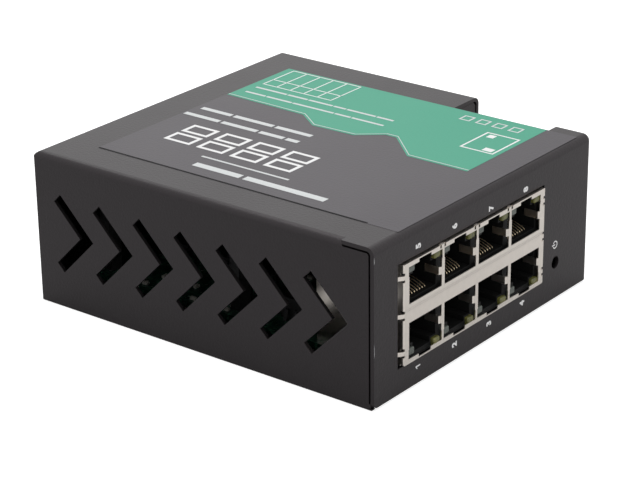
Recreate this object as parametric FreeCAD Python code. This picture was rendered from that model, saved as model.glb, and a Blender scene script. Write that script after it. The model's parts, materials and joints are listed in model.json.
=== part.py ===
"""Eight-port DIN rail ethernet switch: folded steel case, stacked port block, board, rail clip.

Working frame, in mm: X = 0 is the ported front and the case runs back to X = -case_depth; Y = 0 is the
slotted wall and +Y leads to the terminal wall; Z = 0 is the underside and Z = case_height the label face.
Every solid is moved at the end, so that the origin is the middle of the underside.
"""
import FreeCAD
import Part

import math
import os

# ---------------------------------------------------------------- driving dimensions, mm
# Folded case
case_depth = 104.3           # front panel to back wall
case_height = 40.0
port_margin = 10.43          # slotted wall to the port block
power_bay = 28.87            # port block to the terminal wall
sheet = 1.0                  # steel thickness
bend_r = 2.0                 # outer radius of the folded edges
corner_r = 0.5               # outline radius where two walls meet at the back
front_step = 6.2             # the case is narrower beside the ports
recess_front = -9.7          # terminal recess: its front end
recess_length = 28.6
recess_depth = 11.3          # the label face stops this far inside the terminal wall
seam = 0.3                   # open joint between two folded walls
relief_back = -9.0           # the slotted wall is cut free of the label face from here to the front
front_lift = 0.52            # the front panel ends above the underside
foot_reach = 0.55            # the slotted wall's lower corner reaches under the front panel
foot_height = 0.4
foot_overlap = 0.1           # foot into the slotted wall
foot_round = 0.9             # corner radius as a share of the foot's height
panel_corner_r = 1.3
fit_gap = 0.2                # between pieces that only lie beside each other
hole_gap = 0.1               # round a screw or a stud in its hole
thread_gap = 0.05            # round a screw in its nut or spacer
relief_height = 1.1          # the freed end of the slotted wall starts this far above the foot
past = 1.0                   # how far a cutting tool runs beyond the surface that it cuts
tolerance = 1e-4             # for telling edges apart

# Arrow-shaped vents
vent_pitch = 13.0
vent_front_tip = -7.35
vent_back_margin = 5.0       # least distance to the back wall
vent_z = 19.87
vent_slot = 3.1
vent_reach = 10.4            # half height, and the arm's run along the wall

# Stacked port block, 2 rows
port_columns = 4
port_width = 12.44
port_divider = 1.53          # plate between two ports
port_height = 9.15
port_web_z = 4.7             # plate between the two rows
flange_z = 1.1               # plate that hides the top of each socket
slot_overlap = 0.5           # the latch slot starts this far inside the port
light_zone = 2.4             # height beside the flange where the opening is wider
light_zone_step = 0.2
latch_slot = 4.8
latch_edge = 0.25
shield_side = 2.075          # plate beside the outer ports
shield_end = 1.1             # plate above and below the ports
shield_depth = 25.0
shield_proud = 0.7           # beyond the front panel
shield_sheet = 0.3
panel_gap_near = 1.4         # panel opening round the shield: towards the slotted wall
panel_gap_far = 0.8
panel_gap_end = 0.4
finger_gap = 0.15            # between a finger's tip and the panel
finger_width = 1.3
finger_pitch_z = 9.4
finger_pitch_y = 13.95
finger_flare = 0.2           # a finger's knee behind the panel's outer face
slit = 0.25                  # cut on each side of a finger's root
slit_depth = 0.8
spring_low = 2.9             # ground spring: its near end from the row's inner edge
spring_width = 1.9
spring_run = 4.0
spring_bow = 0.2
spring_sheet = 0.25
shield_chamfer = 1.0
socket_depth = 12.5
socket_inset = 0.17          # plastic beside the plate's edge
socket_floor = 0.2           # plastic floor inside the plate's edge
pipe_left = 2.2
pipe_right = 3.0
pipe_height = 2.6            # light pipe in its shroud, from the socket's roof
pipe_wall = 0.4              # shroud round a light pipe
rib_width = 0.8
contact_count = 8
contact_pitch = 1.016
contact_width = 0.35
contact_sheet = 0.25
contact_start = 1.9          # hairpin behind the front edge
contact_run = 7.6
contact_rise = 1.9
contact_bend = 0.35          # the hairpin's bend beyond the flat run
block_gap = 0.05             # port block above the board
pipe_recess = 0.3            # light pipe behind the shield's plate

# Circuit board
board_top = 7.35
board_sheet = 1.6
board_front = -3.0
board_back_gap = 3.8         # board to the back wall's outside
board_y0 = 8.6
board_far_gap = 1.5          # board to the recess
spacer_inset = 8.5           # back row from the board's back edge
spacer_front_gap = 25.7      # front row behind the port block
spacer_edge = 5.2            # rows from the board's long edges
spacer_flat = 5.0            # across the flats
stud_r = 1.5
screw_r = 1.5
screw_head_r = 2.9
lead_length = 1.2            # solder tails below the board
cover_screw_reach = 2.5      # screw thread inside its spacer
cover_screw_flat = 0.1       # screw head below the cover's inner face
tapped_depth = 5.0           # thread in a long spacer
stud_reach = 4.0             # stud above the board
film_sheet = 0.3
film_inset = 2.0             # film inside the board's outline
film_front_inset = 4.0
film_hole_share = 0.7        # hole round a spacer, as a share of its flats

# Power entry
pole_count = 5
pole_pitch = 5.08
header_depth = 12.0
header_proud = 1.0           # header's mouth beyond the recess wall
header_height = 8.6
header_wall = 1.0
pin_side = 1.0
plug_gap = 0.3
plug_inset = 0.8             # the plug stops short of the terminal wall's plane
plug_height = 15.0
plug_drop = 0.75             # the plug hangs a little below the board's top
wire_entry = 3.4
clamp_screw_r = 1.8
clamp_setback = 4.4          # middle of the clamps behind the plug's neck
clamp_length = 5.2
clamp_sheet = 0.5
clamp_floor = 0.8
clamp_roof = 1.2
clamp_screw_drop = 0.7       # screw below the plug's top
well_gap = 0.2               # round a clamp screw in its well
well_depth = 6.0
entry_floor = 2.6            # plastic below a wire entry
entry_roof = 5.4             # plastic above it
entry_setback = 1.5          # entry's end before the plug's neck
plug_low_chamfer = 1.2
plug_top_chamfer = 3.0
plug_top_setback = 1.4
groove = 0.3                 # groove between two poles
groove_depth = 0.5
coding_slot = 2.6            # slot in the header's roof over each pole
coding_slot_length = 4.0
pin_setback = 2.5            # pin's tip inside the header's mouth
pin_end_gap = 1.0            # pin's room in the plug ends inside the header's mouth

# Power light beside the ports
light_offset = 6.87          # from the port block
light_height = 2.95          # above the board
light_hole_r = 1.625
light_r = 1.45
light_body = 3.0             # straight part of the light
light_nose_share = 0.55      # radius left at the tip
holder_length = 4.4
holder_wall = 0.8
holder_setback = 1.0         # holder behind the light's shoulder
holder_bore = 2.0

# Rail clip on the back wall; heights are measured outward from that wall
rail_width = 35.0
rail_sheet = 1.0
rail_gap = 0.3
clip_sheet = 1.5
clip_width = 24.0
clip_tail = 19.6             # plate beyond the rail's lower edge
hook_grip = 2.3              # lip over the rail's edge
latch_gap = 0.1
guide_gap = 0.3
guide_offset = 4.6           # from the rail's lower edge
guide_length = 11.0
guide_lip = 2.5
latch_joggle = 2.0           # from the rail's lower edge to the latch's flat
latch_tip_chamfer = 1.2
latch_proud = 3.6            # latch beyond the terminal wall
pull_slot_length = 3.0
pull_slot_width = 8.0
latch_travel = 4.0
spring_offset = 5.6          # from the rail's lower edge
spring_length = 11.0
spring_r = 1.8               # to the middle of the wire
spring_wire_r = 0.3
spring_turns = 4
window_gap = 0.35
clip_screw_inset = 7.6       # from the rail's edges
clip_screw_reach = 4.4       # thread beyond the clip plate
hook_chamfer = 1.0
tab_proud = 1.0              # spring's tab above the latch
latch_corner_r = 2.0
pull_slot_inset = 2.2        # from the latch's end
nut_r = 3.2
nut_height = 1.8

# Label on the case
label_sheet = 0.4
label_front = -10.0
label_back_margin = 11.7
label_y0 = 11.0

# Components on the board
capacitor_r = 5.0
capacitor_height = 16.0
capacitor_lead = 2.5         # leads from the can's middle
capacitor_lead_r = 0.35
capacitor_count = 2
capacitor_pitch = 12.0
capacitor_front_gap = 10.0   # behind the front spacer
capacitor_edge_gap = 3.5     # can to the board's far edge
switch_side = 20.0
switch_lead_count = 8        # on each side
switch_y = 33.4              # middle, from the board's near edge
chip_height = 1.6
small_chip_length = 5.0
small_chip_width = 4.0
small_chip_pitch = 1.27
small_chip_lead_count = 4    # on each side
magnetics_length = 10.0
magnetics_width = 7.2
magnetics_height = 5.6
magnetics_gap = 4.5          # behind the port block
magnetics_lead_count = 3     # on each side
inductor_side = 10.0
inductor_corner = 1.2
inductor_height = 4.5
inductor_x = 15.5            # middle, from the board's back edge
middle_shift = 1.0           # switch chip in front of the middle of its stretch of board
inductor_y = (41.4, 57.4)    # middles, from the board's near edge
flash_y = 25.4
regulator_x = 28.0
regulator_y = 53.4
crystal_length = 11.0
crystal_width = 4.6
crystal_height = 3.6
crystal_y = 13.4
crystal_round = 0.48         # end radius as a share of the can's width
fuse_length = 6.5
fuse_width = 4.0
fuse_height = 4.0
fuse_chamfer = 0.4
fuse_gap = 3.0               # behind the header
diode_length = 4.6
diode_width = 3.6
diode_height = 2.3
diode_pitch = 5.5
diode_count = 3
diode_gap = 5.2              # behind the transformers
diode_inset = 10.5           # from the header's back
diode_draft = 0.3
passive_length = 1.6
passive_width = 0.8
passive_height = 0.7
passive_pitch = 5.2
passive_count = 9
passive_edge = 1.2           # from the board's near edge
passive_start = 8.0          # behind the back spacer
second_row = 5.6             # second row from the first
second_shift = 1.5
spacer_clear = 5.0           # parts kept clear of the front spacer
decoupling_count = 4
decoupling_gap = 3.5         # from the switch chip
lead_reach = 1.4             # bent leads beyond a package
lead_sheet = 0.2
lead_foot = 0.5              # flat end of a bent lead
lead_share = 0.36            # lead width as a share of its pitch
switch_lead_span = 0.9       # leads as a share of the switch chip's side
magnetics_lead_span = 0.85   # leads as a share of a transformer's length


# ---------------------------------------------------------------- small helpers
def box(x0, x1, y0, y1, z0, z1):
    """Block between two corners."""
    return Part.makeBox(x1 - x0, y1 - y0, z1 - z0, FreeCAD.Vector(x0, y0, z0))


def rod(radius, start, end):
    """Cylinder from one point to another."""
    a = FreeCAD.Vector(*start)
    b = FreeCAD.Vector(*end)
    return Part.makeCylinder(radius, (b - a).Length, a, b - a)


def cone(r0, r1, start, end):
    """Cone frustum from one point to another."""
    a = FreeCAD.Vector(*start)
    b = FreeCAD.Vector(*end)
    return Part.makeCone(r0, r1, (b - a).Length, a, b - a)


def extrude(points, along):
    """Closed outline of 3-D points, extruded along a vector."""
    corners = [FreeCAD.Vector(*p) for p in points]
    face = Part.Face(Part.makePolygon(corners + corners[:1]))
    return face.extrude(FreeCAD.Vector(*along))


def hexagon(flats, x, y, z0, z1):
    """Upright hexagonal bar."""
    r = flats / math.sqrt(3.0)
    turns = [math.radians(60.0 * k) for k in range(6)]
    points = [(x + r * math.cos(a), y + r * math.sin(a), z0) for a in turns]
    return extrude(points, (0, 0, z1 - z0))


def join(shapes):
    """One body from touching shapes, without the seams between them."""
    return shapes[0].fuse(shapes[1:]).removeSplitter()


def cut_all(shape, tools):
    """Shape with every tool taken away."""
    return shape.cut(Part.makeCompound(tools))


def group(solids):
    """Separate solids kept together as one sub-part."""
    return Part.makeCompound(solids)


def edges_where(shape, test):
    """Straight edges whose two ends both pass the test."""
    found = []
    for edge in shape.Edges:
        ends = [v.Point for v in edge.Vertexes]
        if len(ends) == 2 and all(test(p) for p in ends):
            found.append(edge)
    return found


def near(a, b):
    """Equal within modelling tolerance."""
    return abs(a - b) < tolerance


# ---------------------------------------------------------------- places worked out from the sizes
port_pitch = port_width + port_divider
shield_width = port_columns * port_pitch - port_divider + 2 * shield_side
shield_height = 2 * port_height + port_web_z + 2 * shield_end
socket_width = port_width - 2 * socket_inset
case_width = port_margin + shield_width + power_bay
wall_y = case_width - sheet                      # inside of the terminal wall
front_block_width = case_width - front_step
recess_y = case_width - recess_depth
recess_back = recess_front - recess_length
label_under = case_height - sheet                # inside of the label face
board_under = board_top - board_sheet
block_y0 = port_margin
block_y1 = block_y0 + shield_width
block_z0 = board_top + block_gap
block_z1 = block_z0 + shield_height
block_centre_y = (block_y0 + block_y1) / 2
block_centre_z = (block_z0 + block_z1) / 2
plate_back = shield_proud - shield_sheet         # inside of the shield's front plate
block_back = shield_proud - shield_depth
socket_back = plate_back - socket_depth
first_port_y = block_centre_y - (port_pitch * (port_columns - 1) + port_width) / 2
board_back = -case_depth + board_back_gap
board_y1 = recess_y - board_far_gap
spacer_x = (board_back + spacer_inset, block_back - spacer_front_gap)
spacer_y = (board_y0 + spacer_edge, board_y1 - spacer_edge)
terminal_x = recess_front - recess_length / 2
header_y1 = recess_y + header_proud
header_back = header_y1 - header_depth
header_z1 = board_top + header_height
terminal_half = pole_count * pole_pitch / 2
pin_z = board_top + header_height / 2
plug_z0 = board_top - plug_drop
plug_z1 = plug_z0 + plug_height
plug_neck = header_y1 + plug_gap
plug_face = case_width - plug_inset
clamp_y = plug_neck + clamp_setback              # middle of the clamps and their screws
clamp_top = plug_z1 - entry_roof
middle_board_x = (board_back + block_back) / 2 + middle_shift
light_y = block_y1 + light_offset
light_z = board_top + light_height
label_back = -case_depth + label_back_margin
clip_centre_z = case_height / 2
rail_y0 = case_width / 2 - rail_width / 2
rail_y1 = case_width / 2 + rail_width / 2
clip_screw_y = (rail_y0 + clip_screw_inset, rail_y1 - clip_screw_inset)
clip_end_y = rail_y1 + clip_tail
guide_start_y = rail_y1 + guide_offset
guide_end_y = guide_start_y + guide_length
latch_nose_back = rail_y1 + latch_joggle
latch_end_y = case_width + latch_proud
spring_start_y = rail_y1 + spring_offset
clip_z0 = clip_centre_z - clip_width / 2
clip_z1 = clip_centre_z + clip_width / 2
lip_height = clip_sheet + rail_sheet + rail_gap  # from the back wall to a lip's inner face
latch_floor = clip_sheet + latch_gap
latch_top = latch_floor + clip_sheet
guide_wall_z = clip_width / 2 - clip_sheet       # half the space between the guides
latch_half = guide_wall_z - guide_gap
nose_half = guide_wall_z - guide_lip - guide_gap
spring_height = (clip_sheet + latch_top) / 2     # spring's axis above the back wall
spring_half = spring_r + spring_wire_r
window_half = spring_half + window_gap
window_y0 = spring_start_y
spring_end_y = spring_start_y + spring_length
hook_wall_y = rail_y0 - rail_gap


def port_y(column):
    """Left edge of a port's opening in the shield."""
    return first_port_y + column * port_pitch


def port_rows():
    """Inner edge of each row and the way that the row opens from it: up for the upper one."""
    return ((block_centre_z + port_web_z / 2, 1), (block_centre_z - port_web_z / 2, -1))


def span(edge, way, near_end, far_end):
    """Two heights, counted from a row's inner edge, in rising order."""
    return sorted((edge + way * near_end, edge + way * far_end))


def pole_x(index):
    """Middle of one terminal pole."""
    return terminal_x + (index - (pole_count - 1) / 2) * pole_pitch


# ---------------------------------------------------------------- case
def folded_block(inset):
    """Case volume, inset by a distance, with its folded edges rounded."""
    x_back = -case_depth + inset
    x_front = -inset
    top = case_height - inset
    y0 = inset
    z0 = -past if inset else 0.0
    radius = bend_r - inset
    body = join([
        box(x_back, recess_back + inset, y0, case_width - inset, z0, top),
        box(x_back, x_front, y0, recess_y, z0, top),
        box(recess_front - inset, x_front, y0, front_block_width - inset, z0, top),
    ])
    column = edges_where(body, lambda p: near(p.x, x_front) and near(p.y, front_block_width - inset))
    body = body.makeFillet(radius, column)
    folds = []
    for edge in body.Edges:
        points = [v.Point for v in edge.Vertexes]
        if len(points) != 2 or not all(near(p.z, top) for p in points):
            continue
        middle = edge.valueAt((edge.FirstParameter + edge.LastParameter) / 2)
        in_recess = recess_back - tolerance < middle.x < recess_front + tolerance
        in_recess = in_recess and middle.y > recess_y - tolerance
        if not in_recess and not near(middle.y, y0):
            folds.append(edge)
    body = body.makeFillet(radius, folds)
    corner = box(x_back - past, relief_back, y0 - past, y0 + radius, top - radius, top + past)
    start = (x_back - 2 * past, y0 + radius, top - radius)
    end = (relief_back + past, y0 + radius, top - radius)
    return body.cut(corner.cut(rod(radius, start, end)))


def vent(tip_x):
    """Arrow-shaped slot with its point to the front and arm ends square to the arms."""
    back = vent_slot / math.sqrt(2.0)
    notch = vent_slot * math.sqrt(2.0)
    r = vent_reach
    outline = [(0, 0), (-r, r), (-r - back, r - back), (-notch, 0), (-r - back, back - r), (-r, -r)]
    points = [(tip_x + dx, -past, vent_z + dz) for dx, dz in outline]
    return extrude(points, (0, sheet + 2 * past, 0))


def relief():
    """Open joint that frees the slotted wall's front end from the label face and the front panel."""
    x1 = -sheet
    outer = box(relief_back, x1, -past, sheet, foot_height + relief_height, label_under)
    corner = edges_where(outer, lambda p: near(p.x, x1) and near(p.z, label_under))
    outer = outer.makeFillet(bend_r - sheet, corner)
    inner = box(relief_back - past, x1 - seam, -2 * past, sheet + past, 0, label_under - seam)
    corner = edges_where(inner, lambda p: near(p.x, x1 - seam) and near(p.z, label_under - seam))
    return outer.cut(inner.makeFillet(bend_r - sheet - seam, corner))


def front_trim():
    """What is missing under the front panel, and the rounding of its lower corner."""
    strip = box(-bend_r, past, -past, front_block_width + past, -past, front_lift)
    wall_end = box(-bend_r - past, -sheet - seam, -past, sheet, -2 * past, front_lift)
    corner = box(-sheet, past, -past, panel_corner_r, front_lift - past, front_lift + panel_corner_r)
    centre = (panel_corner_r, front_lift + panel_corner_r)
    corner = corner.cut(rod(panel_corner_r, (-sheet - past, *centre), (2 * past, *centre)))
    return join([strip.cut(wall_end), corner])


def corner_foot():
    """Lower front corner of the slotted wall, which reaches under the front panel."""
    reach = -sheet + foot_reach
    foot = box(-sheet - seam - foot_overlap, reach, 0, sheet, 0, foot_height)
    lower = edges_where(foot, lambda p: near(p.x, reach) and near(p.z, 0))
    return foot.makeFillet(foot_height * foot_round, lower)


def housing_pan():
    """Label face with its four folded walls."""
    shell = folded_block(0.0).cut(folded_block(sheet))
    outline = box(-case_depth, past, 0, case_width, -past, case_height + past)
    uprights = edges_where(outline, lambda p: near(p.x, -case_depth))
    uprights = [e for e in uprights if not near(e.Vertexes[0].Z, e.Vertexes[1].Z)]
    shell = shell.common(outline.makeFillet(corner_r, uprights))
    opening = box(-sheet - past, past, block_y0 - panel_gap_near, block_y1 + panel_gap_far,
                  block_z0 - panel_gap_end, block_z1 + panel_gap_end)
    room = case_depth + vent_front_tip - vent_reach - vent_slot - vent_back_margin
    tools = [vent(vent_front_tip - k * vent_pitch) for k in range(int(room / vent_pitch) + 1)]
    tools += [opening, relief(), front_trim()]
    tools.append(rod(light_hole_r, (-sheet - past, light_y, light_z), (past, light_y, light_z)))
    tools.append(box(recess_back, recess_front, recess_y, case_width + past, -past, case_height + past))
    for y in clip_screw_y:
        tools.append(rod(screw_r + fit_gap, (-case_depth - past, y, clip_centre_z),
                         (-case_depth + sheet + past, y, clip_centre_z)))
    return cut_all(shell, tools).fuse(corner_foot()).removeSplitter()


def housing_cover():
    """Underside plate with the terminal recess folded up from it."""
    inner = sheet + fit_gap
    plate = join([
        box(-case_depth + inner, recess_back, inner, case_width - inner, 0, sheet),
        box(-case_depth + inner, -inner, inner, recess_y, 0, sheet),
        box(recess_back - past, recess_front - fit_gap, inner, case_width - inner, 0, sheet),
        box(recess_front - past, -inner, inner, front_block_width - inner, 0, sheet),
    ])
    corner_y = front_block_width - bend_r - inner
    plate = plate.cut(box(-bend_r - inner, 0, corner_y, case_width, -past, sheet + past))
    top = label_under - fit_gap
    y0 = recess_y - sheet
    back_cheek = box(recess_back - inner, recess_back - fit_gap, y0, wall_y - fit_gap, 0, top)
    front_end = front_block_width - inner
    front_cheek = box(recess_front + fit_gap, recess_front + inner, y0, front_end, 0, top)
    cheeks = []
    for cheek in (back_cheek, front_cheek):
        end = cheek.BoundBox.YMax
        far_top = edges_where(cheek, lambda p: near(p.y, end) and near(p.z, top))
        cheeks.append(cheek.makeChamfer(bend_r - sheet, far_top))
    wall = box(recess_back - inner, recess_front + inner, y0, recess_y, 0, top)
    window = box(recess_back - fit_gap, recess_front + fit_gap, y0 - past, recess_y + past,
                 board_top - fit_gap, header_z1 + fit_gap)
    alcove = join(cheeks + [wall]).cut(window)
    cover = join([plate, alcove])
    holes = []
    for x in spacer_x:
        for y in spacer_y:
            holes.append(rod(screw_r + hole_gap, (x, y, -past), (x, y, sheet + past)))
            neck = (x, y, sheet - cover_screw_flat)
            holes.append(cone(screw_head_r + hole_gap, screw_r + hole_gap, (x, y, 0), neck))
    return cut_all(cover, holes)


def cover_screws():
    """Flush screws that hold the cover against the short spacers."""
    screws = []
    for x in spacer_x:
        for y in spacer_y:
            neck = (x, y, sheet - cover_screw_flat)
            head = cone(screw_head_r, screw_r, (x, y, 0), neck)
            screws.append(join([head, rod(screw_r, neck, (x, y, sheet + cover_screw_reach))]))
    return group(screws)


def insulating_sheet():
    """Film between the board's solder side and the cover."""
    film = box(board_back + film_inset, board_front - film_front_inset,
               board_y0 + film_inset, board_y1 - film_inset, sheet, sheet + film_sheet)
    holes = []
    for x in spacer_x:
        for y in spacer_y:
            top = (x, y, sheet + film_sheet + past)
            holes.append(rod(spacer_flat * film_hole_share, (x, y, sheet - past), top))
    return cut_all(film, holes)


def long_spacers():
    """Hexagonal spacers clinched in the label face; the board is screwed up against them."""
    parts = []
    for x in spacer_x:
        for y in spacer_y:
            bar = hexagon(spacer_flat, x, y, board_top, label_under)
            thread = rod(stud_r + thread_gap, (x, y, board_top - past), (x, y, board_top + tapped_depth))
            parts.append(bar.cut(thread))
    return group(parts)


def short_spacers():
    """Spacers whose studs go up through the board and that take the cover screws."""
    parts = []
    for x in spacer_x:
        for y in spacer_y:
            bar = hexagon(spacer_flat, x, y, sheet, board_under)
            thread_end = (x, y, sheet + cover_screw_reach + cover_screw_flat)
            bar = bar.cut(rod(screw_r + thread_gap, (x, y, sheet - past), thread_end))
            stud = rod(stud_r, (x, y, board_under), (x, y, board_top + stud_reach))
            parts.append(join([bar, stud]))
    return group(parts)


def label_overlay():
    """Printed film on the label face."""
    return box(label_back, label_front, label_y0, recess_y, case_height, case_height + label_sheet)


# ---------------------------------------------------------------- port block
def port_opening(column, edge, way):
    """Opening of one port in the shield's front plate, with the slot for the plug's latch."""
    y0 = port_y(column)
    x0 = plate_back - past
    x1 = shield_proud + past
    z0, z1 = span(edge, way, 0, port_height - flange_z)
    main = box(x0, x1, y0, y0 + port_width, z0, z1)
    z0, z1 = span(edge, way, port_height - flange_z - light_zone, port_height - flange_z)
    wide = box(x0, x1, y0 - light_zone_step, y0 + port_width + light_zone_step, z0, z1)
    middle = y0 + port_width / 2
    z0, z1 = span(edge, way, port_height - flange_z - slot_overlap, port_height - latch_edge)
    slot = box(x0, x1, middle - latch_slot / 2, middle + latch_slot / 2, z0, z1)
    return main.fuse([wide, slot])


def ground_spring(column, edge, way):
    """Strip bent back into a socket from the edge of the front plate, touching the plug's shield."""
    y1 = port_y(column) + port_width
    z0, z1 = span(edge, way, spring_low, spring_low + spring_width)
    outer_y = y1 - spring_bow
    inner_y = outer_y - spring_sheet
    tip_x = plate_back - spring_run
    points = [
        (shield_proud, y1, z0),
        (plate_back, y1, z0),
        (plate_back, outer_y, z0),
        (tip_x, outer_y, z0),
        (tip_x, inner_y, z0),
        (plate_back, inner_y, z0),
        (shield_proud, y1 - spring_sheet, z0),
    ]
    return extrude(points, (0, 0, z1 - z0))


def panel_finger(y, z, outward, width_way, gap):
    """Springy strip from the front plate's edge, flaring back to the edge of the panel's opening."""
    width_way = FreeCAD.Vector(*width_way)
    root = FreeCAD.Vector(shield_proud, y, z) - width_way * (finger_width / 2)
    knee = root - FreeCAD.Vector(shield_proud + finger_flare, 0, 0)
    knee = knee + FreeCAD.Vector(*outward) * (gap - finger_gap)
    thick = FreeCAD.Vector(-shield_sheet, 0, 0)
    points = [root, knee, knee + thick, root + thick]
    return extrude([tuple(p) for p in points], tuple(width_way * finger_width))


def finger_slits(y, z, width_way):
    """Cuts in the front plate on both sides of a finger's root."""
    cuts = []
    for way in (-1, 1):
        middle = way * (finger_width + slit) / 2
        half_y = slit / 2 if width_way[1] else slit_depth
        half_z = slit / 2 if width_way[2] else slit_depth
        at_y = y + middle * width_way[1]
        at_z = z + middle * width_way[2]
        cut = box(plate_back - thread_gap, shield_proud + past, at_y - half_y, at_y + half_y,
                  at_z - half_z, at_z + half_z)
        cuts.append(cut)
    return cuts


def jack_shield():
    """Stamped metal shell round the port block, open below."""
    t = shield_sheet
    outer = box(block_back, shield_proud, block_y0, block_y1, block_z0, block_z1)
    inner = box(block_back + t, plate_back, block_y0 + t, block_y1 - t, block_z0 - past, block_z1 - t)
    shell = outer.cut(inner)
    tools = []
    extras = []
    for edge, way in port_rows():
        for column in range(port_columns):
            tools.append(port_opening(column, edge, way))
            extras.append(ground_spring(column, edge, way))
    for k in (-1, 0, 1):
        z = block_centre_z + k * finger_pitch_z
        y = block_centre_y + k * finger_pitch_y
        extras.append(panel_finger(block_y0, z, (0, -1, 0), (0, 0, 1), panel_gap_near))
        extras.append(panel_finger(block_y1, z, (0, 1, 0), (0, 0, 1), panel_gap_far))
        extras.append(panel_finger(y, block_z1, (0, 0, 1), (0, 1, 0), panel_gap_end))
        tools += finger_slits(block_y0, z, (0, 0, 1))
        tools += finger_slits(block_y1, z, (0, 0, 1))
        tools += finger_slits(y, block_z1, (0, 1, 0))
    x = plate_back - thread_gap
    for y, way in ((block_y0, 1), (block_y1, -1)):
        outside = y - way * past
        inside = y + way * shield_chamfer
        high = block_z0 + shield_chamfer
        points = [(x, outside, block_z0 - past), (x, inside, block_z0 - past), (x, inside, block_z0),
                  (x, y, high), (x, outside, high)]
        tools.append(extrude(points, (shield_sheet + past, 0, 0)))
    return join([cut_all(shell, tools)] + extras)


def socket_room(column, edge, way, back):
    """Room for one plug in the moulded body."""
    middle = port_y(column) + port_width / 2
    z0, z1 = span(edge, way, socket_floor, port_height - latch_edge)
    return box(back, shield_proud + past, middle - socket_width / 2, middle + socket_width / 2, z0, z1)


def jack_housing():
    """Moulded sockets: a grid of walls with a shroud round each light pipe."""
    t = shield_sheet
    body = box(socket_back, plate_back, block_y0 + t, block_y1 - t, block_z0, block_z1 - t)
    rooms = []
    ribs = []
    for edge, way in port_rows():
        for column in range(port_columns):
            rooms.append(socket_room(column, edge, way, socket_back - past))
            middle = port_y(column) + port_width / 2
            left = middle - socket_width / 2
            right = middle + socket_width / 2
            low = port_height - latch_edge - pipe_height
            z0, z1 = span(edge, way, low, port_height)
            rib_y = left + pipe_left
            ribs.append(box(socket_back, plate_back, rib_y, rib_y + rib_width, z0, z1))
            rib_y = right - pipe_right
            ribs.append(box(socket_back, plate_back, rib_y, rib_y + pipe_wall, z0, z1))
            z0, z1 = span(edge, way, low, low + pipe_wall)
            rib_end = left + pipe_left + rib_width
            ribs.append(box(socket_back, plate_back, left - socket_inset, rib_end, z0, z1))
            ribs.append(box(socket_back, plate_back, rib_y, right + socket_inset, z0, z1))
    return join([cut_all(body, rooms)] + ribs)


def contact_modules():
    """Inserts behind the sockets that carry the contacts, one per column."""
    t = shield_sheet
    solids = []
    first = block_y0 + t
    width = (shield_width - 2 * t) / port_columns
    for column in range(port_columns):
        y0 = first + column * width
        solids.append(box(block_back + t, socket_back, y0, y0 + width, block_z0, block_z1 - t))
    return group(solids)


def contact_row(row):
    """Contact wires of one row: along the socket's floor, then a hairpin that rises to the back."""
    edge, way = port_rows()[row]
    floor = edge + way * socket_floor
    front = plate_back - contact_start
    tip_x = front - contact_run
    s = contact_sheet * way
    rise = contact_rise * way
    profile = [(socket_back, floor), (front, floor), (front + contact_bend, floor + s),
               (tip_x, floor + rise), (tip_x, floor + rise - s),
               (front - contact_bend, floor + s), (socket_back, floor + s)]
    wires = []
    for column in range(port_columns):
        middle = port_y(column) + port_width / 2
        for k in range(contact_count):
            y = middle + (k - (contact_count - 1) / 2) * contact_pitch - contact_width / 2
            wires.append(extrude([(x, y, z) for x, z in profile], (0, contact_width, 0)))
    return group(wires)


def light_pipes(side):
    """Clear bars in the sockets' outer corners, one colour per side."""
    bars = []
    for edge, way in port_rows():
        low = port_height - latch_edge - pipe_height + pipe_wall
        z0, z1 = span(edge, way, low, port_height - latch_edge)
        for column in range(port_columns):
            middle = port_y(column) + port_width / 2
            if side == "left":
                y0 = middle - socket_width / 2
                bars.append(box(socket_back, plate_back - pipe_recess, y0, y0 + pipe_left, z0, z1))
            else:
                y1 = middle + socket_width / 2
                y0 = y1 - pipe_right + pipe_wall
                bars.append(box(socket_back, plate_back - pipe_recess, y0, y1, z0, z1))
    return group(bars)


# ---------------------------------------------------------------- board and its components
def capacitor_places():
    """Middles of the electrolytic capacitors, in a row behind the front spacer."""
    x = spacer_x[1] - capacitor_front_gap
    y = board_y1 - capacitor_r - capacitor_edge_gap
    return [(x - k * capacitor_pitch, y) for k in range(capacitor_count)]


def main_board():
    """Circuit board with its fixing holes and the holes of the soldered leads."""
    board = box(board_back, board_front, board_y0, board_y1, board_under, board_top)
    z0 = board_under - past
    z1 = board_top + past
    holes = [rod(stud_r + hole_gap, (x, y, z0), (x, y, z1)) for x in spacer_x for y in spacer_y]
    h = pin_side / 2 + hole_gap
    y = header_back - pin_side
    for k in range(pole_count):
        holes.append(box(pole_x(k) - h, pole_x(k) + h, y - h, y + h, z0, z1))
    for x, y in capacitor_places():
        for dy in (-capacitor_lead, capacitor_lead):
            holes.append(rod(capacitor_lead_r + hole_gap, (x, y + dy, z0), (x, y + dy, z1)))
    return cut_all(board, holes)


def capacitors():
    """Electrolytic capacitors on their leads."""
    cans = []
    for x, y in capacitor_places():
        pieces = [rod(capacitor_r, (x, y, board_top), (x, y, board_top + capacitor_height))]
        for dy in (-capacitor_lead, capacitor_lead):
            tail = (x, y + dy, board_under - lead_length)
            pieces.append(rod(capacitor_lead_r, tail, (x, y + dy, board_top)))
        cans.append(join(pieces))
    return group(cans)


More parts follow.
